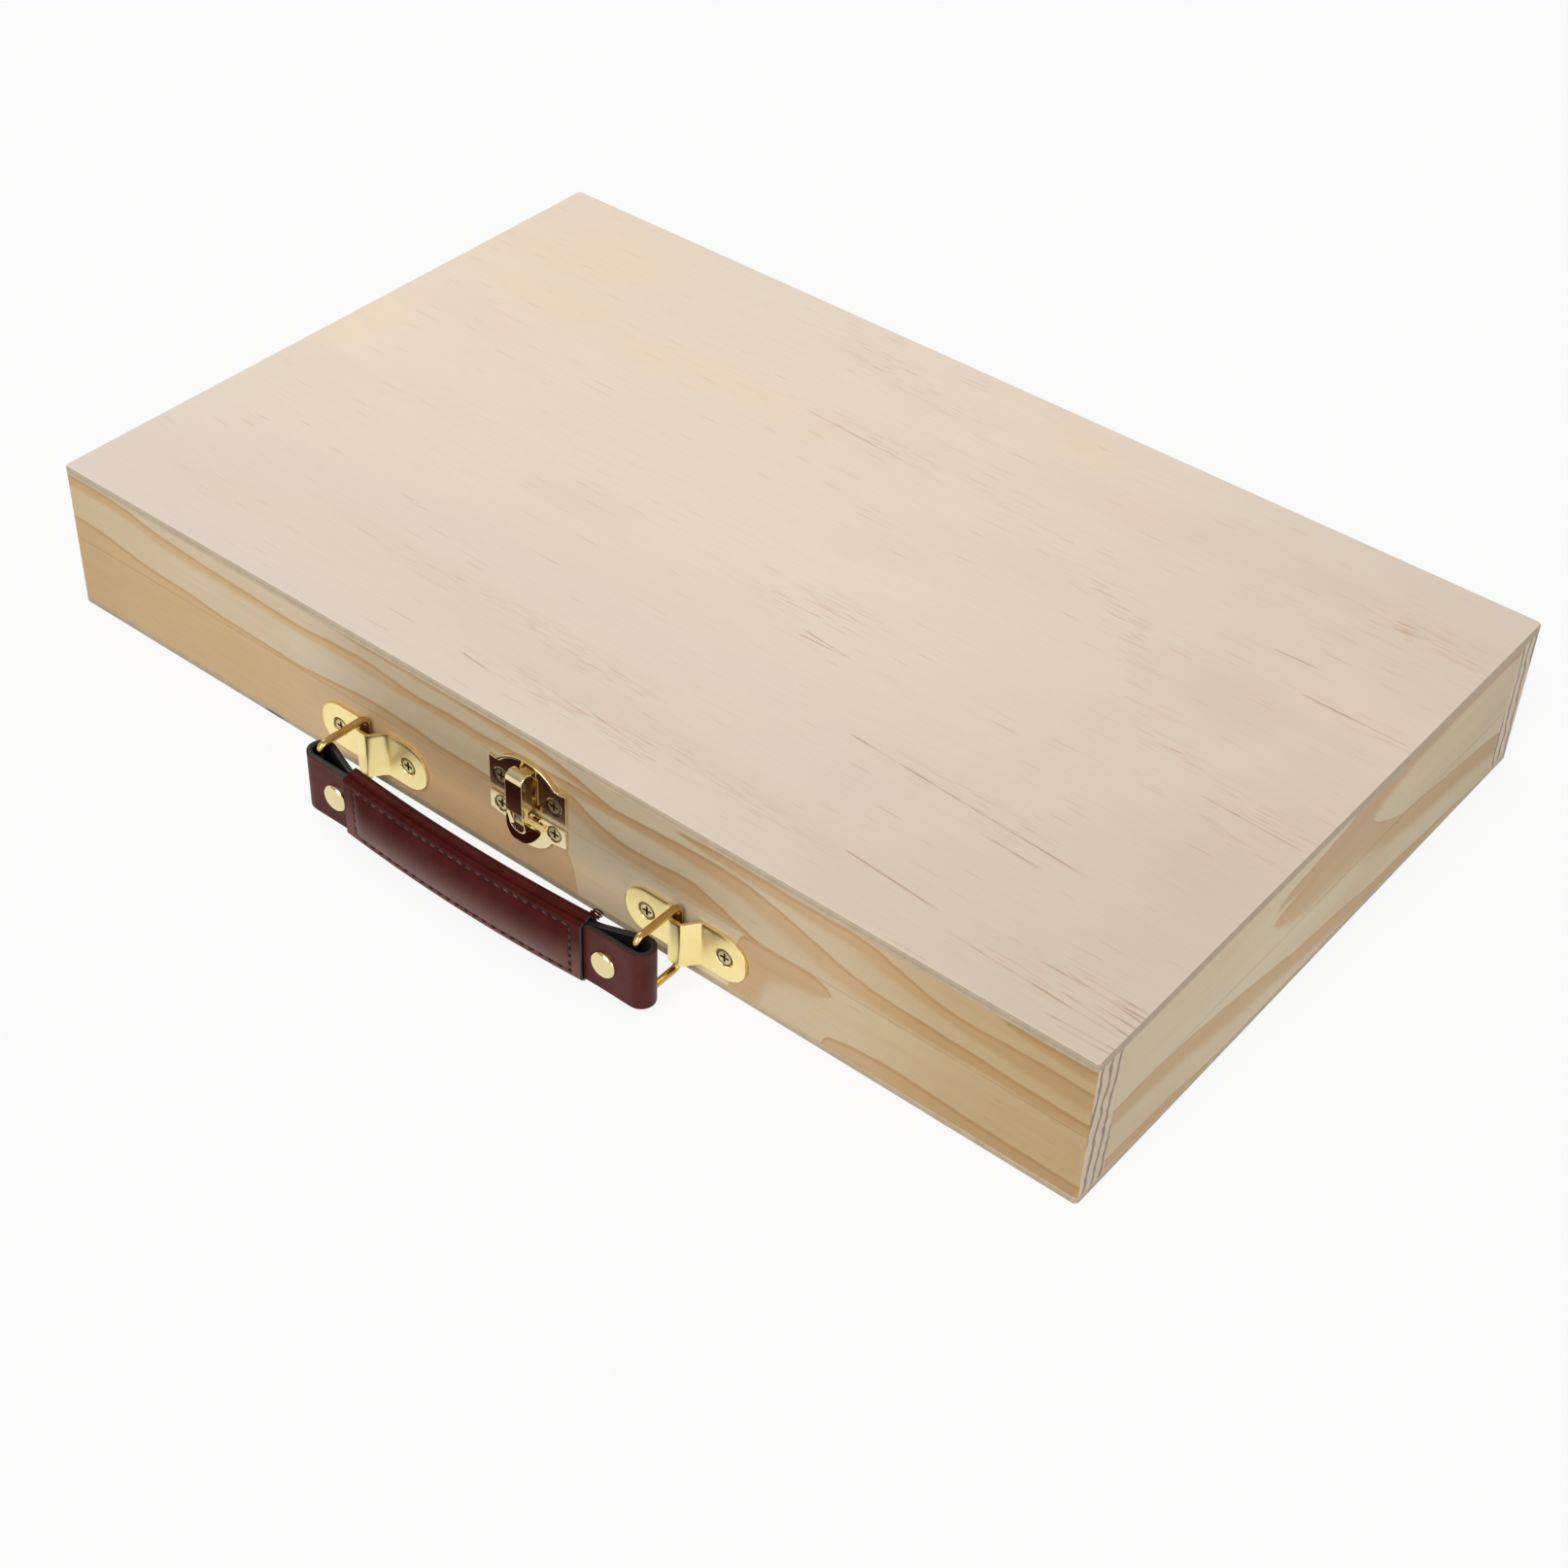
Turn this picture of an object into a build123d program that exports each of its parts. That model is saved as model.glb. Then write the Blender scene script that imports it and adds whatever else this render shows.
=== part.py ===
from build123d import *
import math
import os

# Brush box: a shallow wooden case sawn into a base and a hinged lid, with a front latch and a leather carrying
# handle. Millimetres. X runs along the front, Y from front to back, Z up. The origin is the centre of the case's
# bottom face. Hardware on the front face is placed by its distance out from that face.

# ---------------------------------------------------------------- driving dimensions
# case
case_length = 360.0
case_depth = 221.0
case_height = 49.0
board_thickness = 11.0
panel_thickness = 2.6
base_height = 24.2
seam_gap = 0.15
corner_radius = 1.5
edge_radius = 0.6

# screws
screw_shank_radius = 1.1
screw_head_radius = 2.5
screw_length = 8.0
screw_clearance = 0.05
screw_sink = 0.2
screw_tip_length = 2.0
screw_cone_slope = 2.0
cross_length = 3.0
cross_width = 0.7
cross_depth = 0.5

# saddle brackets of the handle
bracket_spacing = 113.0
bracket_shift = 1.0
bracket_centre_height = 12.9
bracket_length = 41.0
bracket_width = 14.8
bracket_thickness = 1.0
bracket_screw_spacing = 26.2
hump_base_width = 10.6
hump_crest_width = 4.6
hump_height = 4.3
hump_bend_radius = 1.0

# wire rings
wire_diameter = 2.2
wire_out = 1.8
ring_reach = 16.6
ring_height = 21.6
ring_bend_radius = 2.2
ring_floor_gap = 0.2
ring_side_play = -1.4
left_ring_lean = 2.5

# leather strap of the handle, folded into a loop round each ring
leather_thickness = 1.7
strap_height = 19.0
strap_front_out = 22.05
loop_radius = 4.1
loop_centre_x = 57.55
loop_start_x = 44.0
strap_bow = 1.8
rivet_spacing = 96.8
rivet_cap_radius = 4.1
rivet_cap_height = 1.7
rivet_dome_radius = 1.35
rivet_post_radius = 1.5
rivet_back_radius = 3.0
rivet_back_height = 0.9
rivet_clearance = 0.05

# stitched sleeve round the middle of the strap
sleeve_length = 85.8
sleeve_shift = -1.1
sleeve_wall = 1.15
sleeve_clearance = 0.05

# latch
latch_x = 2.75
latch_width = 27.2
latch_thickness = 1.0
latch_lid_bottom = 25.6
latch_lid_ear_height = 35.7
latch_lid_top = 40.7
latch_lid_arc_radius = 14.0
latch_lid_notch = 11.0
latch_lid_screw_height = 30.0
latch_rim_width = 0.8
latch_rim_height = 0.5
latch_base_top = 23.6
latch_base_ear_height = 17.4
latch_base_bottom = 11.2
latch_base_arc_radius = 9.3
latch_base_notch = 8.4
latch_base_screw_height = 20.5
latch_screw_spacing = 18.8
flap_pin_radius = 0.6
flap_pin_clearance = 0.05
flap_pin_out = 3.8
flap_pin_height = 36.2
flap_width = 5.8
flap_wall = 0.8
flap_head_radius = 2.4
flap_fold_height = 26.0
flap_fold_out = 6.2
flap_side_out = 2.0
flap_tip_height = 14.9
flap_tip_out = 4.4
thumb_radius = 6.6
tongue_thickness = 0.8
tongue_bend_radius = 0.45
tongue_step = 0.6
tongue_crest_rise = 0.2
tongue_dip_drop = 1.7
tongue_plate_gap = 0.9
lug_radius = 1.0
lug_arm_height = 1.4
lug_side_gap = 0.2
keeper_width = 3.2
keeper_bottom = 21.7
keeper_top = 23.3
keeper_out = 3.3
keeper_nose_radius = 0.4
keeper_gap = 0.25

# butt hinges on the back
hinge_inset = 65.0
hinge_length = 25.0
hinge_leaf_height = 10.0
hinge_leaf_thickness = 1.0
hinge_barrel_radius = 2.0
hinge_pin_radius = 0.8
hinge_pin_clearance = 0.06
hinge_face_gap = 0.1
hinge_knuckle_gap = 0.15
hinge_middle_length = 8.6
hinge_screw_spacing = 16.0
hinge_screw_drop = 6.4
hinge_screw_head_radius = 2.1

# ---------------------------------------------------------------- derived places
front_y = -case_depth / 2
back_y = case_depth / 2
board_height_base = base_height - panel_thickness
lid_bottom = base_height + seam_gap
lid_board_height = case_height - panel_thickness - lid_bottom
side_length = case_depth - 2 * board_thickness
bracket_places = [bracket_shift - bracket_spacing / 2, bracket_shift + bracket_spacing / 2]
ring_places = [place + ring_side_play for place in bracket_places]
bracket_bottom = bracket_centre_height - bracket_width / 2
wire_radius = wire_diameter / 2
ring_low = ring_floor_gap + wire_radius
ring_high = ring_low + ring_height
strap_middle = (ring_low + ring_high) / 2
strap_bottom = strap_middle - strap_height / 2
strap_thickness = 2 * leather_thickness
loop_out = strap_front_out - loop_radius
rivet_half = rivet_spacing / 2
hinge_axis_y = back_y + hinge_face_gap + hinge_barrel_radius
hinge_axis_z = base_height
hinge_half = case_length / 2 - hinge_inset

front_face = Plane(origin=(0, front_y, 0), x_dir=(1, 0, 0), z_dir=(0, -1, 0))
back_face = Plane(origin=(0, back_y, 0), x_dir=(-1, 0, 0), z_dir=(0, 1, 0))

bracket_screws_at = [
    (place + end * bracket_screw_spacing / 2, bracket_centre_height)
    for place in bracket_places
    for end in (-1, 1)
]
latch_lid_screws_at = [
    (latch_x + end * latch_screw_spacing / 2, latch_lid_screw_height) for end in (-1, 1)
]
latch_base_screws_at = [
    (latch_x + end * latch_screw_spacing / 2, latch_base_screw_height) for end in (-1, 1)
]
hinge_lid_screws_at = [
    (side * hinge_half + end * hinge_screw_spacing / 2, hinge_axis_z + hinge_screw_drop)
    for side in (-1, 1)
    for end in (-1, 1)
]
hinge_base_screws_at = [
    (side * hinge_half + end * hinge_screw_spacing / 2, hinge_axis_z - hinge_screw_drop)
    for side in (-1, 1)
    for end in (-1, 1)
]

os.makedirs("parts", exist_ok=True)


def save(piece, label):
    piece.part.label = label
    export_step(piece.part, f"parts/{label}.step")


def at_front(out):
    """Plane parallel to the front face, out millimetres in front of it, with local y up."""
    return front_face.offset(out)


def on_front(out, height):
    """Point on the YZ plane from its distance out from the front face and its height."""
    return (front_y - out, height)


# ---------------------------------------------------------------- wooden boards
def pilot_holes(face, places):
    """Hole for each screw shank, to be cut from the board behind the given face."""
    with BuildPart() as holes:
        with BuildSketch(face):
            with Locations(*places):
                Circle(screw_shank_radius + screw_clearance)
        extrude(amount=-screw_length - screw_clearance)
    return holes.part


def long_board(y_side, bottom, height, face, places):
    """Front or back board: runs the whole length of the case, over the ends of the side boards."""
    middle_y = y_side * (case_depth - board_thickness) / 2
    holes = pilot_holes(face, places)
    with BuildPart() as board:
        with BuildSketch(Plane.XY.offset(bottom)):
            with Locations((0, middle_y)):
                Rectangle(case_length, board_thickness)
        extrude(amount=height)
        outer_edges = board.edges().filter_by(Axis.Z).group_by(Axis.Y)[0 if y_side < 0 else -1]
        fillet(outer_edges, corner_radius)
        add(holes, mode=Mode.SUBTRACT)
    return board


def side_board(x_side, bottom, height):
    """Left or right board: fits between the front and back boards."""
    middle_x = x_side * (case_length - board_thickness) / 2
    with BuildPart() as board:
        with BuildSketch(Plane.XY.offset(bottom)):
            with Locations((middle_x, 0)):
                Rectangle(board_thickness, side_length)
        extrude(amount=height)
    return board


def panel(bottom, outer_side):
    """Thin plywood panel laid over the frame, flush with its outer faces; outer_side is 1 for the top, -1 below."""
    with BuildPart() as sheet:
        with BuildSketch(Plane.XY.offset(bottom)):
            RectangleRounded(case_length, case_depth, corner_radius)
        extrude(amount=panel_thickness)
        fillet(sheet.faces().sort_by(Axis.Z)[0 if outer_side < 0 else -1].edges(), edge_radius)
    return sheet


base_front_screws_at = bracket_screws_at + latch_base_screws_at
save(long_board(-1, panel_thickness, board_height_base, front_face, base_front_screws_at), "base_front_board")
save(long_board(1, panel_thickness, board_height_base, back_face, hinge_base_screws_at), "base_back_board")
save(long_board(-1, lid_bottom, lid_board_height, front_face, latch_lid_screws_at), "lid_front_board")
save(long_board(1, lid_bottom, lid_board_height, back_face, hinge_lid_screws_at), "lid_back_board")
for side_name, x_side in (("left", -1), ("right", 1)):
    save(side_board(x_side, panel_thickness, board_height_base), f"base_{side_name}_board")
    save(side_board(x_side, lid_bottom, lid_board_height), f"lid_{side_name}_board")
save(panel(0, -1), "base_bottom_panel")
save(panel(case_height - panel_thickness, 1), "lid_top_panel")


# ---------------------------------------------------------------- screws
def screw_group(face, places, plate_thickness, head_radius):
    """Countersunk cross-head wood screws through a plate lying on the given face, one solid at each place."""
    head_top = plate_thickness - screw_sink
    with BuildPart() as screws:
        for x, z in places:
            centre = face.from_local_coords((x, z, 0))
            axis_plane = Plane(origin=centre, x_dir=face.x_dir, z_dir=face.x_dir.cross(face.z_dir))
            with BuildSketch(axis_plane):
                with BuildLine():
                    Polyline(
                        (0, -screw_length),
                        (screw_shank_radius, -screw_length + screw_tip_length),
                        (screw_shank_radius, head_top - (head_radius - screw_shank_radius) / screw_cone_slope),
                        (head_radius, head_top),
                        (0, head_top),
                        close=True,
                    )
                make_face()
            revolve(axis=Axis(centre, face.z_dir))
        with BuildSketch(face.offset(head_top)):
            with Locations(*places):
                Rectangle(cross_length, cross_width)
                Rectangle(cross_width, cross_length)
        extrude(amount=-cross_depth, mode=Mode.SUBTRACT)
    return screws


def screw_seats(face, places, plate_thickness, head_radius):
    """Countersunk hole for each screw, to be cut from a plate lying on the given face."""
    hole_radius = screw_shank_radius + screw_clearance
    sink_radius = head_radius + screw_clearance + screw_sink * screw_cone_slope
    cone_height = (sink_radius - hole_radius) / screw_cone_slope
    with BuildPart() as seats:
        for x, z in places:
            centre = face.from_local_coords((x, z, 0))
            axis_plane = Plane(origin=centre, x_dir=face.x_dir, z_dir=face.x_dir.cross(face.z_dir))
            with BuildSketch(axis_plane):
                with BuildLine():
                    Polyline(
                        (0, 0),
                        (hole_radius, 0),
                        (hole_radius, plate_thickness - cone_height),
                        (sink_radius, plate_thickness),
                        (0, plate_thickness),
                        close=True,
                    )
                make_face()
            revolve(axis=Axis(centre, face.z_dir))
    return seats.part


save(screw_group(front_face, bracket_screws_at, bracket_thickness, screw_head_radius), "bracket_screws")
save(screw_group(front_face, latch_lid_screws_at, latch_thickness, screw_head_radius), "latch_lid_screws")
save(screw_group(front_face, latch_base_screws_at, latch_thickness, screw_head_radius), "latch_base_screws")
save(screw_group(back_face, hinge_lid_screws_at, hinge_leaf_thickness, hinge_screw_head_radius), "hinge_lid_screws")
save(screw_group(back_face, hinge_base_screws_at, hinge_leaf_thickness, hinge_screw_head_radius), "hinge_base_screws")


# ---------------------------------------------------------------- saddle brackets
def saddle_bracket(centre_x):
    """Rounded strip with a hump across its middle; the ring's inner bar turns in the hump."""
    half_length = bracket_length / 2
    skin = bracket_thickness / 2
    crest = hump_height - skin
    own_screws = [place for place in bracket_screws_at if abs(place[0] - centre_x) < half_length]
    seats = screw_seats(front_face, own_screws, bracket_thickness, screw_head_radius)
    with BuildPart() as bracket:
        with BuildSketch(Plane.XY.offset(bracket_bottom)):
            with BuildLine():
                FilletPolyline(
                    (centre_x - half_length, front_y - skin),
                    (centre_x - hump_base_width / 2, front_y - skin),
                    (centre_x - hump_crest_width / 2, front_y - crest),
                    (centre_x + hump_crest_width / 2, front_y - crest),
                    (centre_x + hump_base_width / 2, front_y - skin),
                    (centre_x + half_length, front_y - skin),
                    radius=hump_bend_radius,
                )
            trace(line_width=bracket_thickness)
        extrude(amount=bracket_width)
        with BuildSketch(front_face):
            with Locations((centre_x, bracket_centre_height)):
                SlotOverall(bracket_length, bracket_width)
        extrude(amount=hump_height, mode=Mode.INTERSECT)
        add(seats, mode=Mode.SUBTRACT)
    return bracket


save(saddle_bracket(bracket_places[0]), "left_handle_bracket")
save(saddle_bracket(bracket_places[1]), "right_handle_bracket")


# ---------------------------------------------------------------- wire rings
def wire_ring(centre_x, lean):
    """Rectangular ring of round wire standing out from the front; lean turns it to the left about its inner bar."""
    with BuildPart() as straight_ring:
        with BuildLine(Plane.YZ) as route:
            FilletPolyline(
                (0, ring_low),
                (-ring_reach, ring_low),
                (-ring_reach, ring_high),
                (0, ring_high),
                radius=ring_bend_radius,
                close=True,
            )
        with BuildSketch(Plane(origin=route.line @ 0, z_dir=route.line % 0)):
            Circle(wire_radius)
        sweep()
    with BuildPart() as ring:
        with Locations(Location((centre_x, front_y - wire_out, 0), (0, 0, -lean))):
            add(straight_ring.part)
    return ring


save(wire_ring(ring_places[0], left_ring_lean), "left_ring")
save(wire_ring(ring_places[1], 0), "right_ring")


# ---------------------------------------------------------------- leather strap
strap_back_out = strap_front_out - strap_thickness
loop_inner_radius = loop_radius - leather_thickness
loop_run = math.hypot(loop_centre_x - loop_start_x, strap_back_out - loop_out)
loop_flare = math.asin(loop_radius / loop_run) + math.asin((strap_back_out - loop_out) / loop_run)


def on_plan(side, x, out):
    """Point on the plan from its distance to the left (-1) or right (1) of the middle and out from the front."""
    return (side * x, front_y - out)


def bowed_band(thickness, half_length, shift=0.0):
    """Plan outline of the strap's middle stretch, bowed gently away from the case."""
    middle_out = strap_front_out - strap_thickness / 2
    radius = (loop_start_x**2 + strap_bow**2) / (2 * strap_bow)
    centre_out = middle_out + strap_bow - radius
    with BuildSketch(Plane.XY, mode=Mode.PRIVATE) as band:
        with Locations((0, front_y - centre_out)):
            Circle(radius + thickness / 2)
            Circle(radius - thickness / 2, mode=Mode.SUBTRACT)
        with Locations((shift, front_y - middle_out)):
            Rectangle(2 * half_length, 2 * (strap_bow + thickness), mode=Mode.INTERSECT)
    return band.sketch


def fold_outline(side, radius, start_x, start_out):
    """Plan outline of a fold: straight along the front, round the ring's bar and back on a slant to the start."""
    front_out = loop_out + radius
    back_x = loop_centre_x - radius * math.sin(loop_flare)
    back_out = loop_out - radius * math.cos(loop_flare)
    with BuildSketch(Plane.XY, mode=Mode.PRIVATE) as outline:
        with BuildLine():
            Line(on_plan(side, back_x, back_out), on_plan(side, start_x, start_out))
            Line(on_plan(side, start_x, front_out), on_plan(side, loop_centre_x, front_out))
            if start_out < front_out:
                Line(on_plan(side, start_x, start_out), on_plan(side, start_x, front_out))
            ThreePointArc(
                on_plan(side, loop_centre_x, front_out),
                on_plan(side, loop_centre_x + radius, loop_out),
                on_plan(side, back_x, back_out),
            )
        make_face()
    return outline.sketch


def handle_strap():
    """One strip folded back at both ends and doubled in the middle, with a hole for each rivet."""
    with BuildPart() as rivet_holes:
        with BuildSketch(front_face):
            with Locations((-rivet_half, strap_middle), (rivet_half, strap_middle)):
                Circle(rivet_post_radius + rivet_clearance)
        extrude(amount=strap_front_out + leather_thickness)
    cusp_x = loop_start_x + leather_thickness * math.tan(loop_flare / 2)
    strap_inner_out = strap_front_out - leather_thickness
    with BuildPart() as strap:
        with BuildSketch(Plane.XY.offset(strap_bottom)):
            add(bowed_band(strap_thickness, loop_start_x))
            for side in (-1, 1):
                add(fold_outline(side, loop_radius, loop_start_x, strap_back_out))
                add(fold_outline(side, loop_inner_radius, cusp_x, strap_inner_out), mode=Mode.SUBTRACT)
        extrude(amount=strap_height)
        add(rivet_holes.part, mode=Mode.SUBTRACT)
    return strap


save(handle_strap(), "handle_strap")


def handle_sleeve():
    """Leather sleeve stitched round the middle of the strap, open at both ends."""
    inner_thickness = strap_thickness + 2 * sleeve_clearance
    inner_height = strap_height + 2 * sleeve_clearance
    inner_bottom = strap_bottom - sleeve_clearance
    with BuildPart() as sleeve:
        with BuildSketch(Plane.XY.offset(inner_bottom - sleeve_wall)):
            add(bowed_band(inner_thickness + 2 * sleeve_wall, sleeve_length / 2, sleeve_shift))
        extrude(amount=inner_height + 2 * sleeve_wall)
        with BuildSketch(Plane.XY.offset(inner_bottom)):
            add(bowed_band(inner_thickness, sleeve_length, sleeve_shift))
        extrude(amount=inner_height, mode=Mode.SUBTRACT)
    return sleeve


save(handle_sleeve(), "handle_sleeve")


def handle_rivets():
    """Domed rivet through both layers of the strap beside each loop, with a flat cap on the slanting back layer."""
    with BuildPart() as rivets:
        for side in (-1, 1):
            back_out = strap_back_out - (rivet_half - loop_start_x) * math.tan(loop_flare)
            back_plane = Plane(
                origin=(side * rivet_half, front_y - back_out, strap_middle),
                x_dir=(0, 0, 1),
                z_dir=(-side * math.sin(loop_flare), math.cos(loop_flare), 0),
            )
            with BuildSketch(back_plane):
                Circle(rivet_back_radius)
            extrude(amount=rivet_back_height)
            with BuildSketch(at_front(back_out)):
                with Locations((side * rivet_half, strap_middle)):
                    Circle(rivet_post_radius)
            extrude(amount=strap_front_out - back_out)
            with BuildSketch(at_front(strap_front_out)):
                with Locations((side * rivet_half, strap_middle)):
                    Circle(rivet_cap_radius)
            extrude(amount=rivet_cap_height)
        cap_edges = rivets.edges().filter_by(GeomType.CIRCLE).group_by(Axis.Y)[0]
        fillet(cap_edges, rivet_dome_radius)
    return rivets


save(handle_rivets(), "handle_rivets")


# ---------------------------------------------------------------- latch
def latch_plate_outline(seam_height, ear_height, notch_x, arc_top, arc_radius):
    """Closed outline of a latch plate: straight along the seam, a pointed ear at each side, a round lobe between."""
    ear_x = latch_width / 2
    away = 1 if arc_top > seam_height else -1
    arc_centre = arc_top - away * arc_radius
    notch_height = arc_centre + away * math.sqrt(arc_radius**2 - notch_x**2)
    with BuildSketch(Plane.XY, mode=Mode.PRIVATE) as outline:
        with BuildLine():
            Polyline(
                (-notch_x, notch_height),
                (-ear_x, ear_height),
                (-ear_x, seam_height),
                (ear_x, seam_height),
                (ear_x, ear_height),
                (notch_x, notch_height),
            )
            ThreePointArc((notch_x, notch_height), (0, arc_top), (-notch_x, notch_height))
        make_face()
    return outline.sketch


def latch_lid_plate():
    """Upper plate with a raised rim along its round edge and the lug that carries the flap's pin."""
    outline = latch_plate_outline(
        latch_lid_bottom, latch_lid_ear_height, latch_lid_notch, latch_lid_top, latch_lid_arc_radius
    )
    lug_width = flap_width - 2 * flap_wall - 2 * lug_side_gap
    arc_centre = latch_lid_top - latch_lid_arc_radius
    seats = screw_seats(front_face, latch_lid_screws_at, latch_thickness, screw_head_radius)
    with BuildPart() as plate:
        with BuildSketch(front_face):
            with Locations((latch_x, 0)):
                add(outline)
        extrude(amount=latch_thickness)
        with BuildSketch(front_face):
            with Locations((latch_x, arc_centre)):
                Circle(latch_lid_arc_radius)
                Circle(latch_lid_arc_radius - latch_rim_width, mode=Mode.SUBTRACT)
            with Locations((latch_x, latch_lid_top)):
                Rectangle(2 * latch_lid_notch, 2 * (latch_lid_top - latch_lid_ear_height), mode=Mode.INTERSECT)
        extrude(amount=latch_thickness + latch_rim_height)
        add(seats, mode=Mode.SUBTRACT)
        with BuildSketch(Plane.YZ.offset(latch_x - lug_width / 2)):
            with Locations(on_front(flap_pin_out, flap_pin_height)):
                Circle(lug_radius)
            with Locations(on_front(flap_pin_out / 2, flap_pin_height)):
                Rectangle(flap_pin_out, lug_arm_height)
        extrude(amount=lug_width)
        with BuildSketch(Plane.YZ.offset(latch_x - lug_width / 2)):
            with Locations(on_front(flap_pin_out, flap_pin_height)):
                Circle(flap_pin_radius + flap_pin_clearance)
        extrude(amount=lug_width, mode=Mode.SUBTRACT)
    return plate


save(latch_lid_plate(), "latch_lid_plate")


def latch_base_plate():
    """Lower plate with the keeper ledge that the flap's tongue snaps under."""
    outline = latch_plate_outline(
        latch_base_top, latch_base_ear_height, latch_base_notch, latch_base_bottom, latch_base_arc_radius
    )
    seats = screw_seats(front_face, latch_base_screws_at, latch_thickness, screw_head_radius)
    with BuildPart() as plate:
        with BuildSketch(Plane.YZ.offset(latch_x - keeper_width / 2)):
            with Locations(on_front(keeper_out / 2, (keeper_bottom + keeper_top) / 2)):
                Rectangle(keeper_out, keeper_top - keeper_bottom)
        extrude(amount=keeper_width)
        fillet(plate.faces().sort_by(Axis.Y)[0].edges().filter_by(Axis.X), keeper_nose_radius)
        with BuildSketch(front_face):
            with Locations((latch_x, 0)):
                add(outline)
        extrude(amount=latch_thickness)
        add(seats, mode=Mode.SUBTRACT)
    return plate


save(latch_base_plate(), "latch_base_plate")

with BuildPart() as latch_pin:
    with BuildSketch(Plane.YZ.offset(latch_x - flap_width / 2)):
        with Locations(on_front(flap_pin_out, flap_pin_height)):
            Circle(flap_pin_radius)
    extrude(amount=flap_width)
save(latch_pin, "latch_pin")


def flap_tongue():
    """Thin tongue below the flap: dips under the keeper ledge, then flares out into a round thumb tab."""
    stem_top = flap_fold_height + flap_wall
    fold_middle = flap_fold_out - flap_wall / 2
    crest_middle = keeper_out + keeper_gap + tongue_step + tongue_thickness / 2
    dip_middle = latch_thickness + tongue_plate_gap + tongue_thickness / 2
    dip_height = keeper_bottom - tongue_dip_drop
    thumb_centre = flap_tip_height + thumb_radius
    with BuildPart() as tongue:
        with BuildSketch(Plane.YZ.offset(latch_x - thumb_radius)):
            with BuildLine():
                FilletPolyline(
                    on_front(fold_middle, stem_top),
                    on_front(crest_middle, keeper_bottom + tongue_crest_rise),
                    on_front(dip_middle, dip_height),
                    on_front(flap_tip_out, flap_tip_height),
                    radius=tongue_bend_radius,
                )
            trace(line_width=tongue_thickness)
        extrude(amount=2 * thumb_radius)
        with BuildSketch(front_face):
            with Locations((latch_x, thumb_centre)):
                Circle(thumb_radius)
            with Locations((latch_x, dip_height)):
                Rectangle(2 * thumb_radius, 2 * thumb_radius, align=(Align.CENTER, Align.MIN), mode=Mode.SUBTRACT)
                Rectangle(flap_width, stem_top - dip_height, align=(Align.CENTER, Align.MIN))
        extrude(amount=flap_fold_out + tongue_thickness, mode=Mode.INTERSECT)
    return tongue.part


def latch_flap():
    """Folded box flap that swings on the lid's lug, with side walls, a rounded head and the tongue below."""
    inner_radius = flap_head_radius - flap_wall
    front_top = flap_pin_out + flap_head_radius
    tongue = flap_tongue()
    with BuildPart() as flap:
        with BuildSketch(Plane.YZ.offset(latch_x - flap_width / 2)):
            with BuildLine():
                Polyline(
                    on_front(front_top, flap_pin_height),
                    on_front(flap_fold_out, flap_fold_height),
                    on_front(flap_side_out, flap_fold_height),
                    on_front(flap_side_out, flap_pin_height),
                    close=True,
                )
            make_face()
            with Locations(on_front(flap_pin_out, flap_pin_height)):
                Circle(flap_head_radius)
        extrude(amount=flap_width)
        with BuildSketch(Plane.YZ.offset(latch_x - flap_width / 2 + flap_wall)):
            with BuildLine():
                Polyline(
                    on_front(front_top - flap_wall, flap_pin_height),
                    on_front(flap_fold_out - flap_wall, flap_fold_height),
                    on_front(0, flap_fold_height),
                    on_front(0, flap_pin_height + flap_head_radius),
                    on_front(flap_pin_out - inner_radius / 2, flap_pin_height + flap_head_radius),
                    on_front(flap_pin_out - inner_radius / 2, flap_pin_height),
                    close=True,
                )
            make_face()
            with Locations(on_front(flap_pin_out, flap_pin_height)):
                Circle(inner_radius)
        extrude(amount=flap_width - 2 * flap_wall, mode=Mode.SUBTRACT)
        add(tongue)
        with BuildSketch(Plane.YZ.offset(latch_x - flap_width / 2)):
            with Locations(on_front(flap_pin_out, flap_pin_height)):
                Circle(flap_pin_radius + flap_pin_clearance)
        extrude(amount=flap_width, mode=Mode.SUBTRACT)
    return flap


save(latch_flap(), "latch_flap")


# ---------------------------------------------------------------- butt hinges
def hinge_cylinder(start_x, length, radius):
    """Cylinder along the hinge axis."""
    with BuildPart() as cylinder:
        with BuildSketch(Plane.YZ.offset(start_x)):
            with Locations((hinge_axis_y, hinge_axis_z)):
                Circle(radius)
        extrude(amount=length)
    return cylinder.part


def hinge_leaf(centre_x, side_up, knuckles, other_knuckles, screws_at):
    """Leaf on the back face with its knuckles; side_up is 1 on the lid, -1 on the base."""
    start_x = centre_x - hinge_length / 2
    own_screws = [place for place in screws_at if abs(-place[0] - centre_x) < hinge_length / 2]
    seats = screw_seats(back_face, own_screws, hinge_leaf_thickness, hinge_screw_head_radius)
    barrels = [hinge_cylinder(x, length, hinge_barrel_radius) for x, length in knuckles]
    reliefs = [
        hinge_cylinder(x, length, hinge_barrel_radius + hinge_face_gap) for x, length in other_knuckles
    ]
    bore = hinge_cylinder(start_x, hinge_length, hinge_pin_radius + hinge_pin_clearance)
    with BuildPart() as leaf:
        with BuildSketch(Plane.YZ.offset(start_x)):
            with Locations((back_y + hinge_leaf_thickness / 2, hinge_axis_z + side_up * hinge_leaf_height / 2)):
                Rectangle(hinge_leaf_thickness, hinge_leaf_height)
        extrude(amount=hinge_length)
        add(reliefs, mode=Mode.SUBTRACT)
        add(barrels)
        add(bore, mode=Mode.SUBTRACT)
        add(seats, mode=Mode.SUBTRACT)
    return leaf


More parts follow.
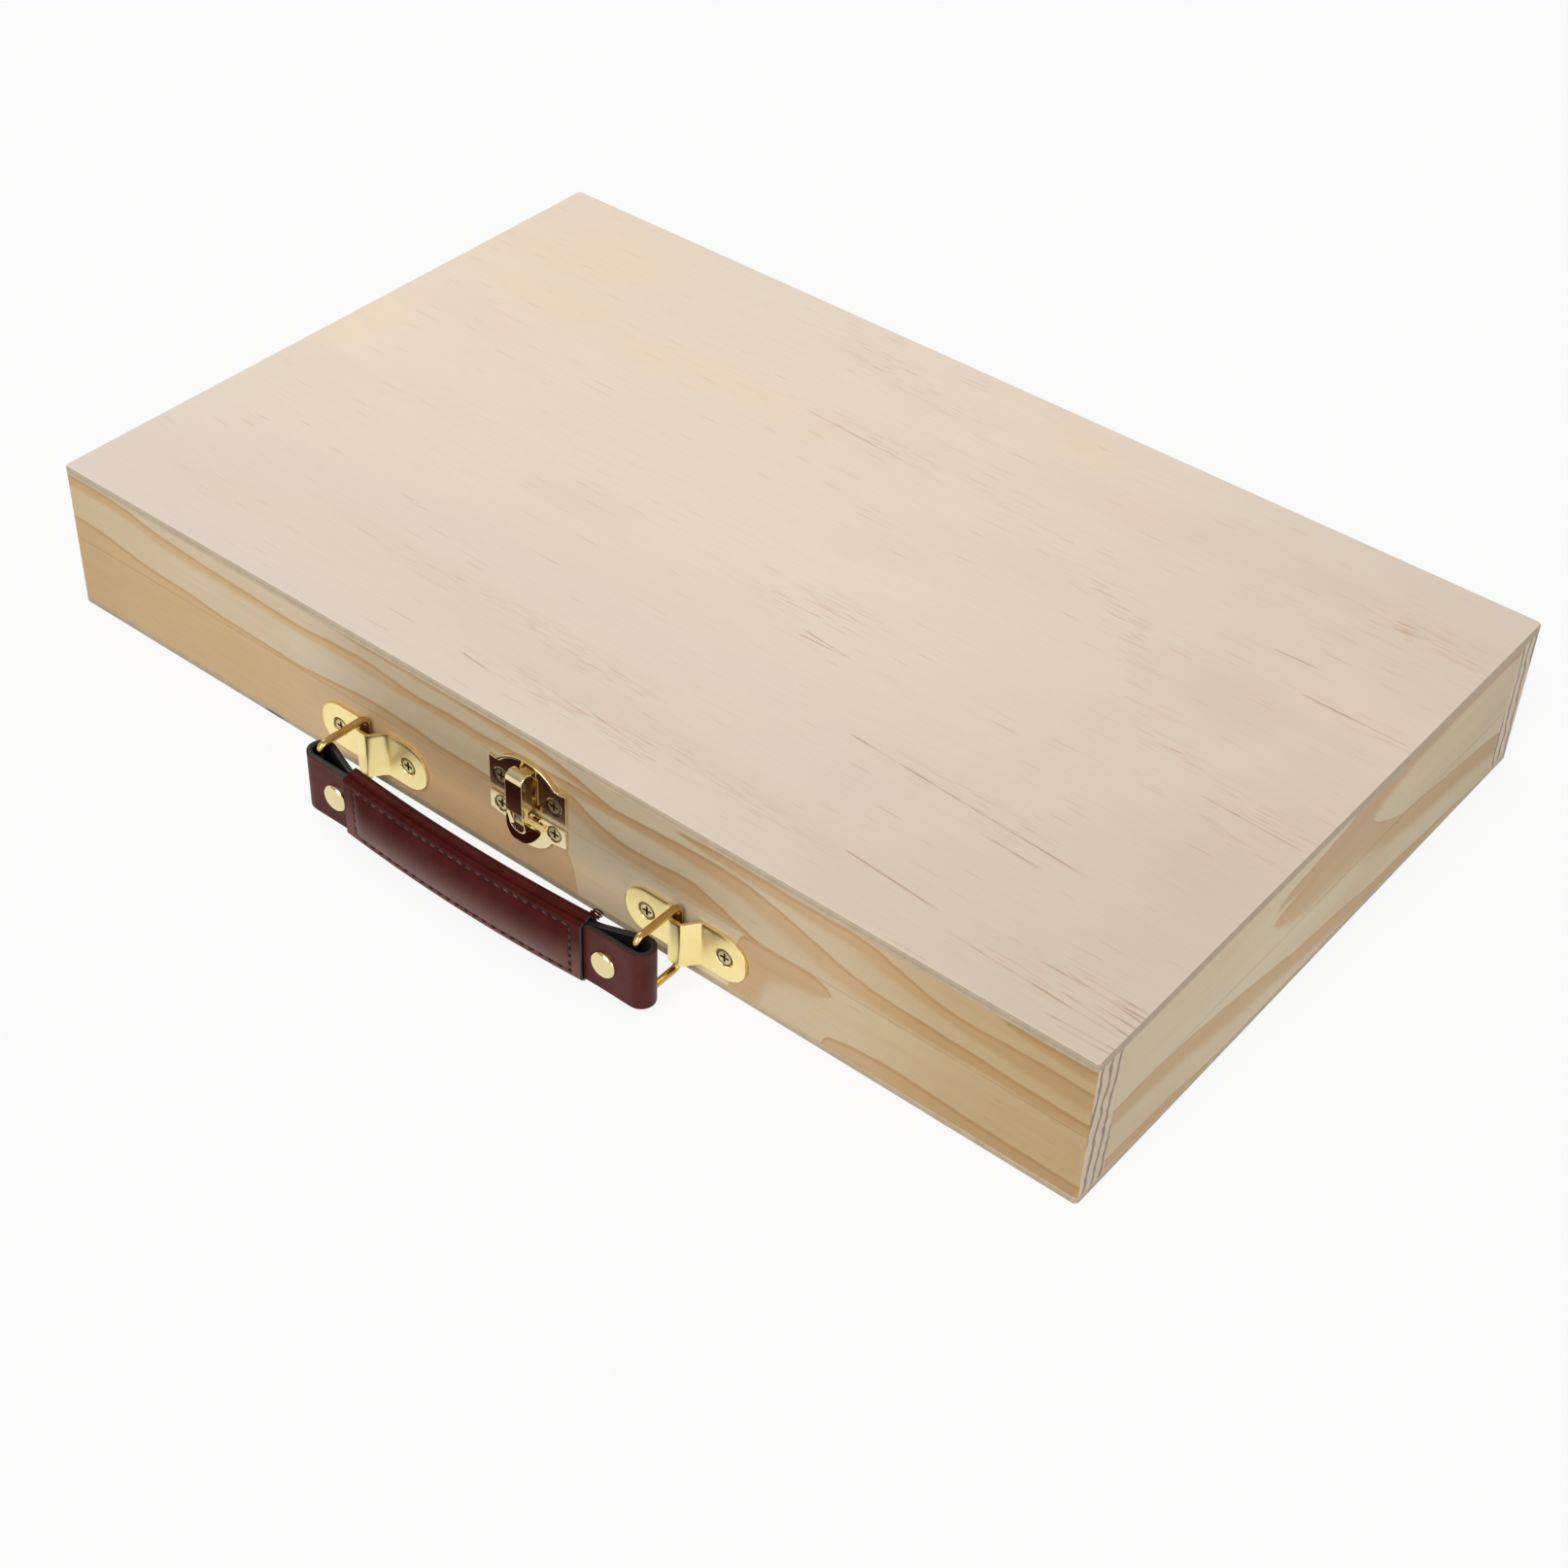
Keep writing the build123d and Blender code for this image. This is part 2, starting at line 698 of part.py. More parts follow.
def butt_hinge(name, centre_x):
    """Two leaves and a pin: the base leaf has the two outer knuckles, the lid leaf the middle one."""
    start_x = centre_x - hinge_length / 2
    outer_length = (hinge_length - hinge_middle_length) / 2 - hinge_knuckle_gap
    relief_length = outer_length + hinge_knuckle_gap
    middle_x = centre_x - hinge_middle_length / 2
    far_x = centre_x + hinge_length / 2
    outer_knuckles = [(start_x, outer_length), (far_x - outer_length, outer_length)]
    outer_reliefs = [(start_x, relief_length), (far_x - relief_length, relief_length)]
    middle_knuckle = [(middle_x, hinge_middle_length)]
    middle_relief = [(middle_x - hinge_knuckle_gap, hinge_middle_length + 2 * hinge_knuckle_gap)]
    save(hinge_leaf(centre_x, -1, outer_knuckles, middle_relief, hinge_base_screws_at), f"{name}_hinge_base_leaf")
    save(hinge_leaf(centre_x, 1, middle_knuckle, outer_reliefs, hinge_lid_screws_at), f"{name}_hinge_lid_leaf")
    with BuildPart() as pin:
        add(hinge_cylinder(start_x, hinge_length, hinge_pin_radius))
    save(pin, f"{name}_hinge_pin")


butt_hinge("left", -hinge_half)
butt_hinge("right", hinge_half)
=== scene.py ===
import math
import random

import bmesh
import bpy
from mathutils import Matrix, Vector


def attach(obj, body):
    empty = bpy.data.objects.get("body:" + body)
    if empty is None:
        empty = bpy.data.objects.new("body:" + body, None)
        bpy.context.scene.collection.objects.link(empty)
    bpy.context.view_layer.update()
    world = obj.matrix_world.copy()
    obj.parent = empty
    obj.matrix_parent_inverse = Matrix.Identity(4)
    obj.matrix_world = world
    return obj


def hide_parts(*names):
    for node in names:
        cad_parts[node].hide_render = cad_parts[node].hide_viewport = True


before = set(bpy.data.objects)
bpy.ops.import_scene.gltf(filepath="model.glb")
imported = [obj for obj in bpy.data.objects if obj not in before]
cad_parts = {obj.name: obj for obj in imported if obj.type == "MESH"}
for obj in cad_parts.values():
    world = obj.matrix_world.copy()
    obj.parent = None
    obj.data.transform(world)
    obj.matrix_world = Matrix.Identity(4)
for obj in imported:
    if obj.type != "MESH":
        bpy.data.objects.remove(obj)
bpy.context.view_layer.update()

# ------------ camera
# A three-quarter view from above the right front corner, through a lens a little longer than normal.
# The camera's place is in metres, and its three directions are unit vectors.
camera_data = bpy.data.cameras.new("camera")
camera_data.sensor_width = 36.0
camera_data.lens = 61.05
camera = bpy.data.objects.new("camera", camera_data)
bpy.context.scene.collection.objects.link(camera)
camera_right = Vector((0.7772, 0.6282, 0.0373))
camera_up = Vector((-0.4344, 0.4927, 0.7540))
camera_back = Vector((0.4553, -0.6022, 0.6558))
camera_turn = Matrix((camera_right, camera_up, camera_back)).transposed().to_4x4()
camera.matrix_world = Matrix.Translation((0.3715, -0.4878, 0.4910)) @ camera_turn
bpy.context.scene.camera = camera
bpy.context.scene.view_settings.view_transform = "Standard"


# ------------ floor and studio light
# A white sweep under the case. The lens and shiny metal see it nearly white, and it keeps the case's soft
# shadow. The room round it is dim, with a lighter ceiling, so that polished brass has dark reflections too.
def put(tree, kind, *sources, **settings):
    """Adds a node and feeds its inputs in order: a socket is linked, a value is set, None is passed over."""
    node = tree.nodes.new(kind)
    for key, value in settings.items():
        setattr(node, key, value)
    for socket, source in zip(node.inputs, sources):
        if isinstance(source, bpy.types.NodeSocket):
            tree.links.new(source, socket)
        elif source is not None:
            socket.default_value = source
    return node


def maths(tree, operation, *values):
    """Result of one arithmetic node."""
    return put(tree, "ShaderNodeMath", *values, operation=operation).outputs[0]


def added(tree, first, second):
    return maths(tree, "ADD", first, second)


def less(tree, first, second):
    return maths(tree, "SUBTRACT", first, second)


def times(tree, first, second):
    return maths(tree, "MULTIPLY", first, second)


def larger(tree, first, second):
    return maths(tree, "MAXIMUM", first, second)


def unsigned(tree, value):
    return maths(tree, "ABSOLUTE", value)


def eased(tree, value, low, high, to_low=0.0, to_high=1.0):
    """Smooth step of a value from low to high."""
    node = put(tree, "ShaderNodeMapRange", value, low, high, to_low, to_high, interpolation_type="SMOOTHSTEP")
    return node.outputs[0]


def seen_directly(tree):
    """Share that is 1 for what the lens, shiny metal or glass sees, and 0 for what only lights the case."""
    ray = put(tree, "ShaderNodeLightPath").outputs
    lens_or_gloss = larger(tree, ray["Is Camera Ray"], ray["Is Glossy Ray"])
    return larger(tree, lens_or_gloss, ray["Is Transmission Ray"])


floor_size, floor_drop = 30.0, 0.0003
floor_mesh = bpy.data.meshes.new("floor")
floor = bpy.data.objects.new("floor", floor_mesh)
bpy.context.scene.collection.objects.link(floor)
sheet = bmesh.new()
bmesh.ops.create_grid(sheet, x_segments=1, y_segments=1, size=floor_size)
bmesh.ops.translate(sheet, verts=sheet.verts, vec=(0, 0, -floor_drop))
sheet.to_mesh(floor_mesh)
sheet.free()

floor_white = bpy.data.materials.new("floor_white")
floor_white.use_nodes = True
tree = floor_white.node_tree
tree.nodes.clear()
paper = put(tree, "ShaderNodeBsdfDiffuse", (0.70, 0.70, 0.70, 1.0))
glow = put(tree, "ShaderNodeEmission", (1.0, 1.0, 1.0, 1.0), 1.0)
seen_floor = put(tree, "ShaderNodeMixShader", 0.88, paper.outputs[0], glow.outputs[0])
floor_mix = put(tree, "ShaderNodeMixShader", seen_directly(tree), paper.outputs[0], seen_floor.outputs[0])
put(tree, "ShaderNodeOutputMaterial", floor_mix.outputs[0])
floor_mesh.materials.append(floor_white)

studio = bpy.data.worlds.new("studio")
studio.use_nodes = True
bpy.context.scene.world = studio
tree = studio.node_tree
tree.nodes.clear()
height = put(tree, "ShaderNodeSeparateXYZ", put(tree, "ShaderNodeTexCoord").outputs["Generated"]).outputs[2]
ceiling = eased(tree, height, 0.0, 0.9, 0.14, 0.53)
room = put(tree, "ShaderNodeBackground", (1.0, 0.99, 0.97, 1.0), ceiling)
sweep = put(tree, "ShaderNodeBackground", (1.0, 1.0, 1.0, 1.0), 1.0)
low_down = eased(tree, height, 0.28, 0.42, 1.0, 0.0)
white_share = times(tree, seen_directly(tree), low_down)
sky = put(tree, "ShaderNodeMixShader", white_share, room.outputs[0], sweep.outputs[0])
put(tree, "ShaderNodeOutputWorld", sky.outputs[0])


def soft_lamp(name, place, aim, size, power):
    """Square studio softbox at a place, turned towards a point."""
    lamp_data = bpy.data.lights.new(name, "AREA")
    lamp_data.shape = "SQUARE"
    lamp_data.size = size
    lamp_data.energy = power
    lamp_data.color = (1.0, 0.985, 0.96)
    lamp = bpy.data.objects.new(name, lamp_data)
    bpy.context.scene.collection.objects.link(lamp)
    direction = Vector(aim) - Vector(place)
    lamp.matrix_world = Matrix.Translation(place) @ direction.to_track_quat("-Z", "Y").to_matrix().to_4x4()


soft_lamp("overhead_softbox", (-1.0, 0.35, 0.85), (0, 0, 0), 0.6, 3.9)
soft_lamp("front_softbox", (0.5, -2.2, 2.0), (0, -0.1, 0.02), 2.0, 60.0)
soft_lamp("right_softbox", (1.5, -0.3, 0.55), (0.1, 0, 0.02), 0.7, 4.3)

# ------------ pine boards
# Eight planed softwood boards, butted and glued at the corners, then sawn apart into base and lid, so the
# growth bands run on across the seam. The front and back boards show their end grain at the sides.
half_length, half_depth, case_height = 180.0, 110.5, 49.0


def finish_of(name, roughness, metallic=0.0):
    """New node material and its shader, with the plain values set on the shader's own sockets."""
    finish = bpy.data.materials.new(name)
    finish.use_nodes = True
    tree = finish.node_tree
    tree.nodes.clear()
    shader = put(tree, "ShaderNodeBsdfPrincipled")
    shader.inputs["Roughness"].default_value = roughness
    shader.inputs["Metallic"].default_value = metallic
    put(tree, "ShaderNodeOutputMaterial", shader.outputs[0])
    return finish, tree, shader


def object_place(tree):
    """Place on the piece in metres, whole and as its three parts."""
    place = put(tree, "ShaderNodeTexCoord").outputs["Object"]
    return place, put(tree, "ShaderNodeSeparateXYZ", place).outputs


def linear(red, green, blue):
    """Linear colour from display values of 0 to 255."""
    steps = [value / 255 for value in (red, green, blue)]
    return tuple(s / 12.92 if s <= 0.04045 else ((s + 0.055) / 1.055) ** 2.4 for s in steps) + (1.0,)


def scaled(tree, value, low, high, to_low, to_high):
    """Even stretch of a value from one range to another, held at the ends."""
    return put(tree, "ShaderNodeMapRange", value, low, high, to_low, to_high).outputs[0]


def noise(tree, place, scale, detail=2.0, roughness=0.5, slice_at=None):
    """Cloudy pattern from 0 to 1; slice_at picks one of many independent patterns."""
    dimensions = "3D" if slice_at is None else "4D"
    return put(tree, "ShaderNodeTexNoise", place, slice_at, scale, detail, roughness,
               noise_dimensions=dimensions).outputs[0]


def reach(tree, across, up):
    """Length of a flat offset."""
    offset = put(tree, "ShaderNodeCombineXYZ", across, up).outputs[0]
    return put(tree, "ShaderNodeVectorMath", offset, operation="LENGTH").outputs["Value"]


def blended(tree, share, first, second, blend_type="MIX"):
    """Colour mix; share is a socket or a number."""
    node = put(tree, "ShaderNodeMix", data_type="RGBA", blend_type=blend_type, clamp_factor=True)
    for socket, source in ((node.inputs[0], share), (node.inputs[6], first), (node.inputs[7], second)):
        if isinstance(source, bpy.types.NodeSocket):
            tree.links.new(source, socket)
        else:
            socket.default_value = source
    return node.outputs[2]


def tinted(tree, share, colour, tint):
    """Colour that a tint multiplies where share is 1."""
    return blended(tree, share, colour, blended(tree, 1.0, colour, tint, "MULTIPLY"))


def toned(tree, colour, tone):
    """Colour made lighter or darker by a grey factor."""
    grey = put(tree, "ShaderNodeCombineColor", tone, tone, tone).outputs[0]
    return blended(tree, 1.0, colour, grey, "MULTIPLY")


def surface(tree, shader, colour, roughness, relief=None, strength=1.0, depth=0.0):
    """Links a colour, a roughness and, where there is one, a fine relief to the shader."""
    tree.links.new(colour, shader.inputs["Base Color"])
    tree.links.new(roughness, shader.inputs["Roughness"])
    if relief:
        bump = put(tree, "ShaderNodeBump", strength, depth, 0.1, relief)
        tree.links.new(bump.outputs[0], shader.inputs["Normal"])


def repaint(node_name, finish):
    """Gives one of the frame's pieces this finish alone."""
    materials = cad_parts[node_name].data.materials
    materials.clear()
    materials.append(finish)


def stained(tree, share, stops):
    """Colour that drifts along the board; stops are (share, display colour)."""
    node = put(tree, "ShaderNodeValToRGB", share)
    marks = node.color_ramp.elements
    marks[0].position, marks[0].color = stops[0][0], linear(*stops[0][1])
    marks[1].position, marks[1].color = stops[-1][0], linear(*stops[-1][1])
    for place, colour in stops[1:-1]:
        marks.new(place).color = linear(*colour)
    return node.outputs[0]


def drawn_line(tree, along, points, low, high):
    """Height of a drawn grain line at each place along the board; points are (place, height) as shares."""
    node = put(tree, "ShaderNodeFloatCurve", 1.0, along)
    curve = node.mapping.curves[0]
    curve.points[0].location = points[0]
    curve.points[1].location = points[-1]
    for place in points[1:-1]:
        curve.points.new(*place)
    node.mapping.update()
    return scaled(tree, node.outputs[0], 0.0, 1.0, low, high)


def latewood(tree, along, height, run, stations):
    """Shares of a growth band's tan and of its dark upper line, from (place, bottom, top) in millimetres."""
    low, high = -10.0, 50.0
    places = [(station[0] - run[0]) / (run[1] - run[0]) for station in stations]

    def border(column):
        heights = [(station[column] - low) / (high - low) for station in stations]
        return drawn_line(tree, along, list(zip(places, heights)), low, high)

    bottom, top = border(1), border(2)
    width = larger(tree, less(tree, top, bottom), 0.05)
    over_top = less(tree, height, top)
    level = maths(tree, "DIVIDE", less(tree, height, bottom), width)
    present = eased(tree, width, 0.15, 1.2)
    under_edge = times(tree, eased(tree, over_top, -0.25, 0.35, 1.0, 0.0), present)
    fill = times(tree, eased(tree, level, -0.2, 0.4), under_edge)
    line = times(tree, eased(tree, over_top, -1.7, -0.3), under_edge)
    return fill, line


def pine(name, axis, run, bands, pale_stops, tan_stops, seed, edge_strength, handle_tone_and_painted_light=None):
    """Planed pine. Axis is 0 for boards along X and 1 for boards along Y; bands are drawn latewood bands."""
    finish, tree, shader = finish_of(name, 0.46)
    _, parts = object_place(tree)
    along_m, across_m, height_m = parts[axis], parts[1 - axis], parts[2]
    height_mm = times(tree, height_m, 1000.0)
    from_middle_mm = times(tree, unsigned(tree, across_m), 1000.0)

    def streaks(along, across, offset, detail, roughness):
        """Noise drawn out along the board; along and across say how often it changes in a metre."""
        place = put(tree, "ShaderNodeCombineXYZ", times(tree, along_m, along), times(tree, across_m, across),
                    times(tree, height_m, across))
        return noise(tree, place.outputs[0], 1.0, detail, roughness, seed + offset)

    # the bands wander a little, and on the board's other faces they climb with the depth
    wobble = scaled(tree, streaks(26.0, 60.0, 0.0, 3.0, 0.6), 0.25, 0.75, -0.9, 0.9)
    depth_mm = less(tree, half_depth if axis == 0 else half_length, from_middle_mm)
    grain_height = added(tree, added(tree, height_mm, wobble), times(tree, depth_mm, 0.8))
    share = scaled(tree, along_m, run[0] / 1000, run[1] / 1000, 0.0, 1.0)
    tan_share = line_share = 0.0
    for stations in bands:
        fill, line = latewood(tree, share, grain_height, run, stations)
        tan_share = larger(tree, tan_share, fill)
        line_share = larger(tree, line_share, line)

    pale = stained(tree, share, pale_stops)
    tan = stained(tree, share, tan_stops)
    amber = blended(tree, 1.0, tan, (0.84, 0.72, 0.54, 1.0), "MULTIPLY")
    clouds = eased(tree, streaks(14.0, 55.0, 7.0, 3.0, 0.55), 0.4, 0.7)
    uneven = eased(tree, streaks(20.0, 90.0, 9.0, 3.0, 0.6), 0.3, 0.7, 0.78, 1.0)
    flecks = eased(tree, streaks(120.0, 1500.0, 12.0, 1.0, 0.5), 0.68, 0.76)
    fibres = streaks(34.0, 900.0, 3.0, 2.0, 0.6)
    colour = blended(tree, times(tree, clouds, 0.3), pale, tan)
    colour = blended(tree, times(tree, tan_share, uneven), colour, tan)
    colour = blended(tree, times(tree, line_share, edge_strength), colour, amber)
    colour = blended(tree, times(tree, flecks, 0.35), colour, amber)
    colour = toned(tree, colour, eased(tree, fibres, 0.3, 0.7, 0.965, 1.02))
    if handle_tone_and_painted_light:
        # a soft darker zone over the handle, partly the wood's own tone and partly painted shade, and a
        # lighter zone of painted light behind it, standing in for light that the handle keeps off the wood
        low, high, border_mm, darker_tone_and_shade, painted_light_behind_handle = handle_tone_and_painted_light
        past_low = eased(tree, along_m, low - 0.03, low)
        middle = times(tree, past_low, eased(tree, along_m, high, high + 0.03, 1.0, 0.0))
        above = times(tree, middle, eased(tree, height_mm, border_mm - 5.0, border_mm + 2.0))
        below = times(tree, middle, eased(tree, height_mm, 6.0, border_mm - 4.5, 1.0, 0.0))
        colour = tinted(tree, above, colour, darker_tone_and_shade)
        colour = tinted(tree, below, colour, painted_light_behind_handle)
    if axis == 0:
        # end grain: rings cut across, leaning a little all the way up
        lean = scaled(tree, height_mm, 0.0, case_height, 0.0, 4.6)
        sway = scaled(tree, streaks(9.0, 150.0, 20.0, 2.0, 0.5), 0.2, 0.8, -1.1, 1.1)
        ring_place = added(tree, added(tree, from_middle_mm, lean), sway)
        ring = maths(tree, "SINE", times(tree, ring_place, 1.75))
        end_wood = blended(tree, eased(tree, ring, 0.1, 0.95), linear(204, 186, 164), linear(138, 118, 98))
        colour = blended(tree, eased(tree, unsigned(tree, along_m), 0.17965, 0.17990), colour, end_wood)
    surface(tree, shader, colour, eased(tree, fibres, 0.3, 0.7, 0.42, 0.52), fibres, 0.2, 0.00005)
    shader.inputs["Specular IOR Level"].default_value = 0.3
    return finish


front_run = (-half_length, half_length)
front_bands = [
    ((-180, 41.8, 46.1), (-156, 41.6, 45.6), (-145, 39.8, 43.6), (-121, 38.3, 41.9), (-98, 37.6, 40.7),
     (-85, 37.4, 40.5), (-64, 37.4, 41.8), (-56, 36.8, 42.1), (-48, 36.4, 40.8), (-40, 36.2, 39.6),
     (-18, 36.4, 39.8), (0, 37.5, 40.2), (20, 36.5, 40.4), (36, 37, 40.6), (52, 37, 41.6), (66, 36, 42.1),
     (76, 34.6, 41.6), (82, 33, 40.4), (90, 30.6, 38.4), (100, 27.4, 35.2), (110, 25.4, 32.2),
     (122, 24.4, 30.5), (140, 24.4, 29.5), (180, 24, 28.4)),
    ((-180, 45.2, 45.3), (-140, 46.2, 46.4), (-100, 46.4, 46.9), (-60, 46.2, 47.1), (-36, 44.6, 47),
     (-16, 44.4, 46.4), (0, 43.4, 46.8), (10, 42.6, 46.2), (20, 41, 43.8), (28, 40.2, 41.6), (40, 39, 39.1),
     (180, 35, 35.1)),
    ((-180, 46, 46.1), (50, 45.6, 45.7), (66, 43.2, 46.7), (85, 41.6, 46.2), (100, 41, 46),
     (112, 39.6, 45.4), (125, 36.6, 42), (140, 34.6, 38.8), (160, 33, 39.6), (180, 31.6, 39.4)),
    ((-180, 48, 48.1), (150, 46.4, 46.5), (160, 43.8, 46.2), (170, 43, 46.4), (180, 42.6, 47)),
    ((-180, -8, 31.6), (-168, -8, 31.4), (-156, -8, 29.6), (-145, -8, 28.4), (-128, -8, 27.9),
     (-115, -8, 26.7), (-100, -8, 26), (-84, -8, 26), (-72, -8, 27), (-56, -8, 28.5), (-44, -8, 28),
     (-30, -8, 26.6), (-14, -8, 25.8), (0, -8, 24.6), (9, -8, 21), (15, -8, 17), (18, -8, 11), (20, -8, 0),
     (24, -9, -8), (180, -9, -8)),
    ((-180, 34, 34.1), (4, 34, 34.1), (14, 31, 36.8), (23, 27.6, 33.6), (30, 25.4, 31.2), (36, 25, 30.4),
     (46, 25, 30.7), (56, 25, 31.6), (65, 24.9, 29.8), (74, 24.5, 27), (82, 24, 24.6), (90, 23.6, 23.7),
     (180, 23.6, 23.7)),
    ((-180, -9, -8.9), (68, -9, -8.9), (76, -6, 24), (82, 2, 24.2), (84, 9, 24.2), (90, 13.5, 24.2),
     (96, 15.5, 24), (100, 17, 23.4), (103, 18.8, 22.2), (104.5, 20.2, 20.6), (108, 20.3, 20.3),
     (180, 20.3, 20.3)),
    ((-180, -9, -8.9), (96, -9, -8.9), (104, -6, 6.4), (122, -6, 8.4), (150, -6, 7.4), (180, -6, 6.6)),
]
front_pale = [(0.0, (200, 178, 140)), (0.14, (206, 187, 158)), (0.32, (207, 191, 165)),
              (0.45, (205, 189, 160)), (0.62, (203, 188, 162)), (0.8, (201, 182, 150)),
              (0.88, (190, 166, 128)), (1.0, (184, 157, 114))]
front_tan = [(0.0, (190, 157, 112)), (0.14, (199, 167, 122)), (0.32, (200, 168, 127)),
             (0.45, (196, 163, 122)), (0.62, (188, 155, 116)), (0.8, (192, 160, 120)),
             (0.88, (180, 146, 99)), (1.0, (172, 138, 92))]
# handle tints: a darker tone with painted shade over the handle, and painted light behind it
handle_tone_and_painted_light = (-0.055, 0.055, 25.0, (0.84, 0.81, 0.76, 1.0), (1.44, 1.38, 1.25, 1.0))
front_pine = pine("front_pine", 0, front_run, front_bands, front_pale, front_tan, 0.0, 0.7, handle_tone_and_painted_light)
side_run = (-half_depth, half_depth)
side_bands = [
    ((-110.5, 18, 24.2), (-99, 17.8, 24.2), (-82, 16.4, 24), (-67, 14.4, 23.2), (-52, 11.6, 21.2),
     (-39, 9, 18.6), (-24, 7, 15.4), (-10, 4.8, 12.4), (12, 3.4, 9.6), (32, 1.5, 7.4), (60, 0.5, 5),
     (85, -2, 3), (110.5, -4, 1)),
    ((-110.5, 2.4, 7.2), (-99, 2.2, 7), (-80, 1.2, 5.6), (-62, 0.4, 4.2), (-46, -1, 2.6), (-30, -4, -3.9),
     (110.5, -4, -3.9)),
    ((-110.5, 37, 37.1), (-30, 37.4, 37.5), (-27, 37.2, 40), (-22, 36.8, 41.4), (-16, 36.2, 42.2),
     (-6, 34, 43.4), (4, 31, 45), (14, 30, 47.4), (22, 38, 48), (30, 40.4, 48), (44, 42.6, 47.9),
     (70, 43.4, 47.8), (110.5, 43.8, 47.6)),
    ((-110.5, 33, 33.1), (-30, 33.2, 33.3), (-27, 31, 35), (-22, 28.6, 36), (-15, 25.6, 37), (-4, 24.8, 39),
     (6, 23.6, 41), (16, 22.4, 40), (22, 20.6, 34.8), (30, 18.4, 29.6), (40, 16.2, 25.6), (56, 14.4, 23.4),
     (75, 11.6, 20.4), (92, 8.8, 17.6), (110.5, 6.6, 14.8)),
]
side_pale = [(0.0, (204, 187, 156)), (0.35, (210, 195, 164)), (0.6, (208, 191, 158)),
             (1.0, (194, 177, 145))]
side_tan = [(0.0, (190, 155, 113)), (0.35, (194, 158, 112)), (0.6, (186, 152, 109)), (1.0, (174, 141, 97))]
side_pine = pine("side_pine", 1, side_run, side_bands, side_pale, side_tan, 4.0, 0.12)

back_bands = [
    ((-180, 8, 14), (-120, 11, 18), (-60, 15, 21.5), (0, 17, 23), (60, 16, 22), (120, 12, 19),
     (180, 9, 15.5)),
    ((-180, 20, 25), (-110, 25, 30.5), (-40, 29, 35), (30, 30, 36.5), (90, 27, 33), (180, 20.5, 26)),
    ((-180, 33, 37), (-100, 38, 42.5), (-30, 41.5, 46), (50, 41, 46.4), (110, 38, 43), (180, 32, 37)),
    ((-180, 0, 4), (-90, 3, 8), (0, 5, 11), (80, 5, 11), (180, 1, 6)),
]
back_pine = pine("back_pine", 0, front_run, back_bands, front_pale[1:6], front_tan[1:6], 9.0, 0.5)
grain_by_board = {"front": front_pine, "back": back_pine, "left": side_pine, "right": side_pine}
for side, finish in grain_by_board.items():
    for half in ("base", "lid"):
        repaint(f"{half}_{side}_board", finish)

